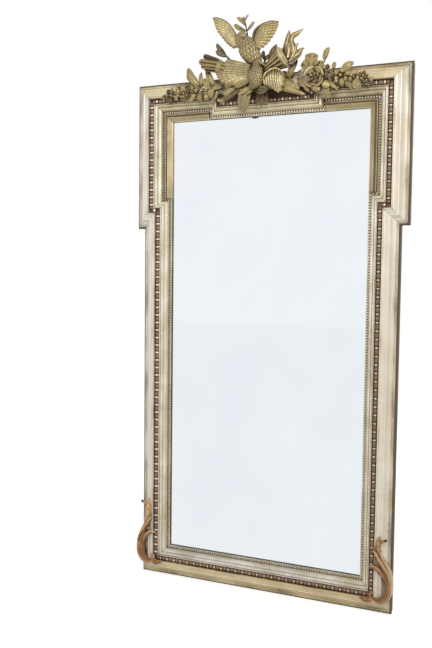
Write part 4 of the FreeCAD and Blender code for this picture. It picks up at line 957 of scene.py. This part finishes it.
upper_wings = [
    *wing(UPPER_LEFT_WING, 11, 33, 27, 1.5), *wing(UPPER_RIGHT_WING, 10, 34, 28, 1.35),
    *wing(UPPER_LEFT_WING, 9, 38, 36, 1.5, 0.45, 0.0006),
    stem(WING_EDGES[0], 0.0046, 0.30, 40, 14, 0.35), stem(WING_EDGES[1], 0.0048, 0.22, 40, 14, 0.35),
    *tail((-14, 24, 32), ((16, -12, 28), (24, 0, 28), (4, -18, 28), (30, 12, 26)), 0.016)]
upper_eyes = ((-58, 117, 54.5), (-54, 107, 53.5))
carve("dove_flying", dove(UPPER_BODY, upper_wings, ((-43, 105, 40), (-34, 98, 38)), upper_eyes), "crest_gilding",
      ["upper_dove"])
lower_wings = [
    *wing(LOWER_LEFT_WING, 10, 46, 40, 1.4), *wing(LOWER_RIGHT_WING, 9, 50, 44, 1.35),
    *wing(LOWER_LEFT_WING, 8, 52, 50, 1.5, 0.42, 0.0006), stem(WING_EDGES[2], 0.0044, 0.72, 40, 14, 0.6),
    *tail((-34, -54, 26), ((-86, -62, 20), (-84, -74, 20), (-74, -50, 22)), 0.020)]
lower_eyes = ((7, 20, 64.5), (13, 13, 61))
carve("dove_resting", dove(LOWER_BODY, lower_wings, ((17, 13, 51), (30, 6, 50)), lower_eyes), "crest_gilding",
      ["lower_dove"])

# %% [markdown]
# ## Quiver, arrows, torch and flame
# Two turned forms cross behind the doves. The quiver tapers from a collared mouth, where the vanes of four
# arrows show, to its foot. The torch swells from a slim fluted handle to a cup, and its flame is a handful of
# tongues: each a tapering sweep along a wavy line, with five ridges round it that catch the light.

# %% Turn the quiver and the torch
QUIVER_ENDS = crest(((-154, 23, 34), (156, -90, 14)))
QUIVER = (
    (0, 17), (0.003, 23.5), (0.01, 26.2), (0.022, 26.2), (0.03, 23.5), (0.45, 20), (0.6, 16), (0.76, 10),
    (0.79, 11.5), (0.82, 10), (0.96, 6), (1, 2),
)
carve("quiver_case", [turned(*QUIVER_ENDS, QUIVER, 10, 0.10, 120, 60, (0.045, 0.75))], "crest_gilding", ["quiver"],
      sharp=35)

FLETCHES = (
    ((-150, 42, 36), (-208, 66, 32), 8.5, 0.15), ((-148, 30, 42), (-222, 47, 36), 10.5, 0.5),
    ((-148, 18, 40), (-216, 32, 34), 9.5, 0.5), ((-148, 10, 34), (-205, 22, 28), 8, 0.3),
)


def fletch(start, end, radius, level):
    """One arrow's vanes: a roll with deep grooves along it, cut off square at its end."""
    outline = ((0, radius * 0.8), (0.10, radius), (0.80, radius * 1.08), (0.97, radius), (1, radius * 0.8))
    points, relief, run = turned(crest(start), crest(end), outline, 5, 0.34, 40, 50, (0.05, 1.01))
    return skin(points, relief + level - 0.5)


carve("arrow_vanes", [fletch(*row) for row in FLETCHES], "crest_gilding", ["quiver_arrows"], sharp=35)

TORCH_START, TORCH_END = crest(((-152, -94, 18), (95, 37, 36)))
TORCH = (
    (0, 3), (0.006, 7), (0.02, 10), (0.035, 7), (0.05, 8.5), (0.3, 10), (0.56, 12), (0.6, 15), (0.625, 15),
    (0.64, 13), (0.67, 16.5), (0.72, 19.5), (0.81, 24), (0.88, 29), (0.935, 34.5), (0.955, 37.5), (0.972, 37.8),
    (0.982, 36), (0.986, 32.5), (0.99, 28), (1, 24),
)
RIM = ((0, 34), (0.15, 38.5), (0.5, 40), (0.85, 38.5), (1, 33))
rim_ends = (TORCH_START + (TORCH_END - TORCH_START) * share for share in (0.957, 0.976))
rim, rim_relief, run = turned(*rim_ends, RIM, rows=12, around=72)
body = turned(TORCH_START, TORCH_END, TORCH, 12, 0.20, 120, 96, (0.06, 0.935))
carve("torch_body", [body, skin(rim, rim_relief + 0.5)], "crest_gilding", ["torch"], sharp=35)


def tongue(rows, ridges=5, depth=0.20, count=60, around=30):
    """A flame's tongue: an oval along a wavy line of (across, up, forward, half width), pinched by ridges that
    turn slowly round it."""
    rows = smooth(rows, count)
    s = np.linspace(0, 1, count)[:, None]
    x, z = circle(around)
    crease = 0.5 + 0.5 * np.cos(ridges * turns(around) + 2.5 * s)
    half = rows[:, 3:] * MM
    scale = 1 - depth * crease
    relief = 0.85 - 0.70 * crease ** 0.7
    return skin(sweep(crest(rows[:, :3]), half * x * scale, 0.62 * half * z * scale), relief)


FLAME = (
    ((92, 30, 34, 18), (95, 58, 36, 15), (98, 82, 37, 10), (103, 100, 37, 9), (105, 118, 36, 3)),
    ((112, 28, 37, 19), (120, 56, 39, 14), (114, 80, 39, 10), (118, 97, 38, 10), (133, 105, 37, 9),
     (152, 118, 35, 1.5)),
    ((106, 22, 35, 19), (124, 32, 37, 16), (138, 38, 37, 12), (146, 50, 36, 8), (157, 57, 34, 1)),
    ((100, 28, 42, 17), (107, 50, 44, 13), (105, 66, 43, 9), (112, 82, 41, 2)),
    ((116, 30, 42, 14), (127, 46, 43, 10), (130, 62, 41, 6), (138, 74, 40, 1)),
)
carve("flame_tongues", [tongue(rows) for rows in FLAME], "crest_gilding", ["torch_flame"])

# %% [markdown]
# ## Sprig, leaves, rose and garlands
# Leaves of several kinds lie under and between the larger forms: slim olive leaves on the sprig, broad and narrow
# ones that hang over the frieze, and toothed rose leaves. The rose is built petal by petal. A petal is a shell
# whose radius and height grow from its base to its rim, and the rim rolls outwards.

# %% Carve the sprig and the leaves
def leaves(rows, place=crest, **look):
    """Leaves from rows of (root across, up, forward, tip across, up, forward, width, bow)."""
    return [leaf(place(row[:3]), place(row[3:6]), row[6] * MM, row[7] * MM, **look) for row in rows]


SPRIG = (
    (-46, 131, 40, -93, 160, 38, 16, 4), (-46, 131, 40, -20, 162, 37, 12, -3), (-52, 150, 39, -83, 181, 39, 12, -3),
    (-52, 150, 40, -61, 181, 38, 14, 0), (-54, 166, 39, -41, 187, 38, 7, 0), (-46, 130, 42, -84, 146, 42, 9, 3),
)
SPRIG_STEM = ((-36, 96, 40), (-41, 108, 41), (-46, 131, 40), (-54, 168, 39))
sprig = leaves(SPRIG, cup=0.35, veins=0, full=(0.8, 0.6), edge=-0.35, rib=-0.10, base=0.40)
carve("sprig_of_olive", [stem(SPRIG_STEM, 0.0034, 0.05), *sprig], "crest_gilding", ["olive_sprig"])

SLIM_LEAVES = (
    (-130, 65, 20, -166, 107, 22, 17, 2), (-126, 58, 22, -167, 82, 24, 20, 1), (26, 30, 20, 56, 82, 22, 21, -3),
    (12, 34, 20, 9, 66, 22, 15, 1), (10, 30, 20, 36, 50, 22, 14, 1), (2, -50, 8, -20, -110, 4, 20, 3),
    (6, -50, 9, -3, -119, 3, 20, 0), (10, -50, 8, 20, -114, 3, 20, -3),
)
SLIM_STEMS = (
    ((-98, 10, 16), (-110, 40, 20), (-132, 64, 21)), ((2, -10, 10), (16, 16, 16), (30, 40, 20)),
    ((2, -10, 12), (10, 18, 18), (15, 44, 20)),
)
BROAD_LEAVES = (
    (-44, -46, 9, -70, -130, 3, 44, -3), (86, -40, 10, 126, 28, 16, 24, -5), (60, -24, 16, 136, -70, 12, 24, -5),
    (90, -30, 14, 120, -52, 18, 20, -3), (-50, -40, 10, -150, -62, 8, 22, 6), (-20, -56, 22, -66, -78, 16, 14, 2),
)
LENS_LEAF = ((-14, -62, 30, 34, -66, 36, 26, -6),)
FORK_LEAVES = (
    (-56, -20, 32, -136, -72, 22, 17, 5), (-56, -22, 30, -112, -54, 24, 14, 4), (-50, -22, 34, -130, -50, 24, 13, 3),
    (-46, -26, 30, -96, -70, 22, 12, 2),
)
loose = [stem(rows, 0.0052, 0.25) for rows in SLIM_STEMS]
loose += leaves(SLIM_LEAVES, cup=0.45, veins=3, edge=0.35, base=0.22, rib=0.03, cut=0.03)
loose += leaves(BROAD_LEAVES, cup=0.25, veins=4, arch=0.14, cut=0.03, full=(0.6, 0.5))
loose += leaves(LENS_LEAF, cup=0.7, veins=0, arch=0.10, full=(0.6, 0.6), edge=0.85, base=0.14, rib=0)
loose += leaves(FORK_LEAVES, cup=0.18, veins=7, arch=0.08, full=(0.5, 0.25), cut=0.06, base=0.58, edge=0.4)
carve("loose_leaves", loose, "crest_gilding", ["crest_leaves"])


# %% Open the rose
PETAL_THICK, ROSE_LIGHT = 0.0011, 2.3


def petal(centre, facing, base, rim, low, high, spread, roll, rub_and_highlight, rows=16, around=26):
    """One petal: round the axis it spans a wedge that widens evenly and closes at the rim; its radius goes from
    base to rim with the share to the power 1.5, its height from low to high with a sine, and past three quarters
    it rolls outwards and down. Deep in the flower it is dark, dirt and painted shade, and its rolled rim is paler,
    rubbed leaf and a painted highlight."""
    s = np.linspace(0, 1, rows)[:, None]
    x, z = circle(around)
    wide = spread * (0.55 + 0.45 * s) * np.sqrt(1 - (0.86 * s) ** 4)
    angle = facing + wide * x
    curl = np.clip((s - 0.75) / 0.25, 0, 1) ** 2
    rolled = roll * (rim - base) * curl
    radius = base + (rim - base) * s ** 1.5 + rolled * (1 - 0.4 * np.abs(x)) + PETAL_THICK * z
    height = low + (high - low) * np.sin(np.pi / 2 * s) - 0.35 * rolled
    points = np.stack(np.broadcast_arrays(radius * np.cos(angle), -height, radius * np.sin(angle)), axis=-1)
    relief = 0.06 + 0.24 * s + rub_and_highlight * curl - 0.2 * np.abs(x) ** 3
    return skin(centre + points, relief)


# Number of petals, base, rim, low, high, spread, roll, first turn. The outer ring shines most, on its lit side.
RINGS = (
    (4, 0.014, 0.0310, 0.002, 0.026, 1.00, 0.26, 2.30), (5, 0.012, 0.0255, 0.006, 0.028, 0.74, 0.16, 0.9),
    (4, 0.008, 0.0175, 0.010, 0.029, 0.84, 0.12, 0.4), (4, 0.004, 0.0110, 0.014, 0.030, 0.80, 0.10, 1.1),
    (3, 0.002, 0.0055, 0.018, 0.031, 0.95, 0.10, 0.2),
)
rose_centre = crest((187, -37, 2))
HEART_OUT, HEART = 0.012, 0.014
# The heart is a dark ball: dirt and painted shade deep in the flower.
petals = [ball(rose_centre + FORWARD * HEART_OUT, HEART, (1.2, 1.0, 1.2), relief=0.0)]
for ring, (count, *form, start) in enumerate(RINGS):
    for k in range(count):
        facing = start + 2 * np.pi * k / count
        rub_and_highlight = (0.35 if ring else 0.95) * (0.35 + 0.65 * np.cos((facing - ROSE_LIGHT) / 2) ** 4)
        petals.append(petal(rose_centre, facing, *form, rub_and_highlight))
carve("rose_bloom", petals, "crest_gilding", ["rose"])

ROSE_LEAVES = (
    (174, -20, 0, 179, 45, 6, 58, 2), (166, -24, 2, 144, 20, 5, 36, -3), (190, -20, 2, 207, 18, 5, 36, -3),
    (162, -34, 2, 130, -6, 6, 18, 4), (125, -33, 10, 169, -82, 10, 17, 3), (210, -60, 4, 234, -107, 3, 30, 3),
    (156, -20, 2, 160, 30, 5, 18, 2),
)
ROSE_LOBES = (
    (174, -68, 10, 208, -80, 13, 26, 3), (206, -58, 12, 240, -70, 14, 27, 2),
)
rose_foliage = leaves(ROSE_LEAVES, cup=0.24, veins=3, teeth=3, bite=0.24, arch=0.14, cut=0.035, full=(0.6, 0.5))
rose_foliage += leaves(ROSE_LOBES, cup=-0.20, veins=0, arch=0.12, full=(0.45, 0.35), edge=-0.3, base=0.62, thick=0.2)
carve("leaves_by_rose", rose_foliage, "crest_gilding", ["rose_leaves"])

# %% Hang the garlands
STALK_REACH, STALK_SINK, STALK_MIDDLE, CARRIER = 10, 5, 7, 5
chance = np.random.default_rng(7)


def garland(stems, blades, blossoms, berries):
    """Stems with leaves, blossoms (across, up, forward, radius, petals) and berries (across, up, forward,
    radius). Each blossom and berry has a short stalk back to the first stem, which carries them all."""
    carrier = np.array(sorted(stems[0]))
    skins = [stem(row, 0.0026) for row in stems]
    skins += leaves(blades, cup=0.26, veins=3, arch=0.12, cut=0.03)
    for across, up, forward, *rest in (*blossoms, *berries):
        back = across + STALK_REACH
        foot = np.interp(back, carrier[:, 0], carrier[:, 1])
        middle = ((across + back) / 2, (up + foot) / 2, STALK_MIDDLE)
        stalk = ((across, up, forward - STALK_SINK), middle, (back, foot, CARRIER))
        skins.append(stem(stalk, 0.0020, 0.05, 10, 8))
    for *spot, radius, count in blossoms:
        lean = chance.uniform(-0.25, 0.25, 2)
        skins.append(rosette(crest(spot), radius * MM, count, 0.70, lean, chance.uniform(0, 1)))
    for *spot, radius in berries:
        skins.append(ball(crest(spot), radius * MM, (1, 1.0, 1.2), relief=chance.uniform(0.15, 0.60)))
    return skins


LEFT_STEMS = (
    ((-90, -46, 5), (-150, -46, 10), (-200, -50, 10), (-260, -47, 10), (-320, -52, 8), (-376, -56, 5)),
    ((-230, -46, 10), (-236, -20, 12), (-250, 2, 10)), ((-260, -44, 8), (-268, -14, 8), (-285, 14, 8)),
    ((-314, -52, 10), (-332, -68, 10), (-352, -85, 6)),
)
LEFT_BLADES = (
    (-230, -34, 8, -280, 37, 12, 27, 5), (-222, -34, 8, -228, 18, 10, 17, 2), (-178, -42, 6, -210, 23, 12, 24, -4),
    (-188, -48, 10, -215, -4, 14, 22, 3), (-250, -48, 6, -280, -88, 6, 18, 3), (-184, -38, 12, -190, -76, 12, 24, 0),
    (-164, -40, 6, -186, -88, 5, 20, 3), (-138, -34, 8, -192, -42, 12, 16, 3), (-202, -44, 10, -206, -84, 8, 15, 0),
    (-310, -50, 8, -330, -16, 6, 12, 2), (-274, -12, 8, -285, 17, 8, 10, 0),
)
LEFT_BLOSSOMS = (
    (-340, -48, 12, 13, 5), (-310, -50, 13, 15, 5), (-290, -67, 10, 12, 5), (-376, -56, 9, 11, 5),
    (-317, -31, 10, 12, 4), (-260, -50, 12, 12, 5), (-288, -46, 11, 11, 5),
)
LEFT_BERRIES = (
    (-351, -72, 7, 10), (-263, -33, 10, 9), (-276, -36, 10, 8), (-360, -40, 8, 8), (-327, -64, 10, 9),
    (-231, -71, 12, 13), (-207, -71, 12, 11), (-295, -36, 9, 8), (-246, -44, 12, 9), (-324, -20, 6, 6),
    (-288, -25, 6, 6), (-272, -62, 10, 8), (-302, -70, 8, 7), (-346, -34, 7, 7), (-362, -62, 8, 7),
    (-198, -30, 14, 8),
)
LEFT_CURL = ((-234, -58, 14), (-226, -45, 19), (-215, -37, 20), (-206, -44, 18), (-210, -52, 16))
left = garland(LEFT_STEMS, LEFT_BLADES, LEFT_BLOSSOMS, LEFT_BERRIES)
carve("garland_of_the_left", [*left, stem(LEFT_CURL, 0.0026, 0.75)], "crest_gilding", ["garland_left"])

RIGHT_STEMS = (
    ((200, -46, 6), (260, -46, 10), (320, -51, 8), (384, -60, 4)), ((212, -40, 6), (216, 4, 8), (224, 25, 9)),
    ((246, -44, 8), (250, -23, 8), (253, -8, 8)), ((272, -44, 9), (280, -24, 9)),
)
RIGHT_BLADES = (
    (223, 20, 8, 235, 57, 10, 20, 3), (220, 12, 8, 220, 42, 9, 10, 2), (250, -16, 8, 254, 9, 8, 15, 0),
    (278, -27, 9, 318, 1, 8, 25, 3), (312, -56, 8, 342, -88, 7, 28, 2), (310, -58, 8, 314, -86, 6, 17, 0),
    (222, -48, 10, 268, -84, 9, 12, 2), (206, -34, 6, 213, 8, 8, 17, 2), (294, -46, 8, 302, -78, 6, 14, 0),
)
RIGHT_BLOSSOMS = (
    (276, -38, 14, 22, 5), (229, -6, 10, 11, 5), (221, -17, 12, 11, 5), (233, -24, 12, 11, 5), (256, -75, 10, 15, 8),
    (319, -45, 10, 14, 5), (340, -42, 10, 13, 5), (357, -50, 9, 14, 5), (345, -64, 8, 11, 5), (366, -67, 7, 11, 5),
    (246, -38, 12, 12, 5),
)
RIGHT_BERRIES = (
    (280, -60, 12, 11), (307, -53, 10, 9), (299, -33, 10, 8), (260, -28, 10, 8), (240, -52, 11, 9), (330, -56, 8, 7),
    (376, -58, 6, 7), (262, -54, 12, 8), (292, -50, 12, 8), (352, -34, 7, 6), (216, -30, 12, 8), (328, -32, 8, 6),
)
right = garland(RIGHT_STEMS, RIGHT_BLADES, RIGHT_BLOSSOMS, RIGHT_BERRIES)
carve("garland_of_the_right", right, "crest_gilding", ["garland_right"])

# %% [markdown]
# ## Corner scrolls
# On each bottom corner a carved scroll bends round an open oval where the moulding shows through. It is a fluted
# band along a smooth line, with a hook that crosses the opening's top, a leaf above and a small leaf along the
# bottom. It is laid out in millimetres from the frame's outer bottom corner.

# %% Carve the scrolls
scroll = partial(crest, right=BODY_HALF, foot=0.0)


def band(rows, count=110, around=48, flutes=4, depth=0.0024):
    """A carved band from stations (across, up, half breadth, crown forward, back forward): in section a squarish
    round, with flutes cut along its face by a cosine of the place across it."""
    rows = smooth(rows, count)
    x, z = circle(around)
    crown, back = rows[:, 3:4], rows[:, 4:5]
    line = scroll(np.column_stack([rows[:, :2], (crown + back)[:, 0] / 2]))
    half, tall = rows[:, 2:3] * MM, (crown - back) / 2 * MM
    front = np.sqrt(np.maximum(z, 0))
    cut = (0.5 + 0.5 * np.cos(2 * np.pi * flutes * (x * 0.5 + 0.5))) * front * np.minimum(half / 0.010, 1)
    lift = tall * np.sign(z) * np.abs(z) ** 0.7 - depth * cut
    relief = 0.68 - 0.55 * cut + 0.30 * x + 0.15 * np.abs(x) ** 4 - 0.3 * (z < 0)
    return skin(sweep(line, half * np.sign(x) * np.abs(x) ** 0.85, lift), relief)


SCROLL_BAND = (
    (-46, 250, 2, 5, -6), (-43, 230, 6, 7, -8), (-37, 206, 9, 8, -12), (-27, 182, 12, 9, -20),
    (-15, 158, 13.5, 10, -30), (-7, 134, 13, 12, -33), (-3.5, 110, 12, 13, -33), (-5, 86, 12.5, 13, -33),
    (-16, 64, 13, 11, -25), (-34, 52, 11, 9, -10), (-52, 56, 8, 9, -4), (-64, 68, 5.5, 9, 0), (-62, 81, 3, 8, 2),
)
SCROLL_HOOK = (
    (-72, 168, 2, 9, 4), (-54, 168, 5.5, 10, 0), (-36, 156, 7.5, 9, -6), (-22, 138, 6, 6, -18), (-16, 120, 3, 2, -22),
)
SCROLL_RIDGE = (
    (-58, 224, 2, 9, 4), (-50, 216, 5, 12, 0), (-38, 196, 5.5, 15, -2), (-22, 174, 5, 16, 0), (-8, 152, 4, 16, 0),
    (0, 128, 3, 15, 0),
)
SCROLL_LEAVES = (
    (-42, 220, 2, -60, 242, 8, 9, 3), (-38, 204, 2, -58, 198, 8, 12, 2), (-50, 58, 2, -102, 60, 5, 18, 3),
    (-30, 184, 4, -56, 184, 8, 12, 2),
)
scroll_skins = [band(SCROLL_BAND), band(SCROLL_HOOK, 50, 36, 2), band(SCROLL_RIDGE, 60, 24, 1, 0.0004)]
scroll_skins += leaves(SCROLL_LEAVES, scroll, cup=0.2, veins=3, base=0.36)
scroll_skins.append(ball(scroll((-58, 80, 5)), 0.0060, relief=0.5))


def whole_scroll(tip, width, bud):
    """The scroll with its upright leaf at the top and a small dark bud on a stalk."""
    fork, bud = scroll((-43, bud[1] - 17, -2)), scroll((*bud, 2))
    return [
        *scroll_skins,
        leaf(scroll((-35, 192, -6)), scroll((-40, tip, -5)), width, 0.004, arch=0.04, cup=0.25, veins=4, teeth=4,
             bite=0.30, thick=0.36, full=(0.5, 0.45), cut=0.07, base=0.66),
        leaf(fork, bud, 0.011, 0.003, cup=0.1, veins=1, full=(0.5, 0.3), base=0.40),
        ball(bud, 0.0052, relief=-0.3),
    ]


carve("scroll_right", whole_scroll(270, 0.023, (-17, 262)), "scroll_gilding", ["corner_scroll_right"])
carve("scroll_left", mirrored(whole_scroll(290, 0.028, (-15, 279))), "scroll_gilding", ["corner_scroll_left"])
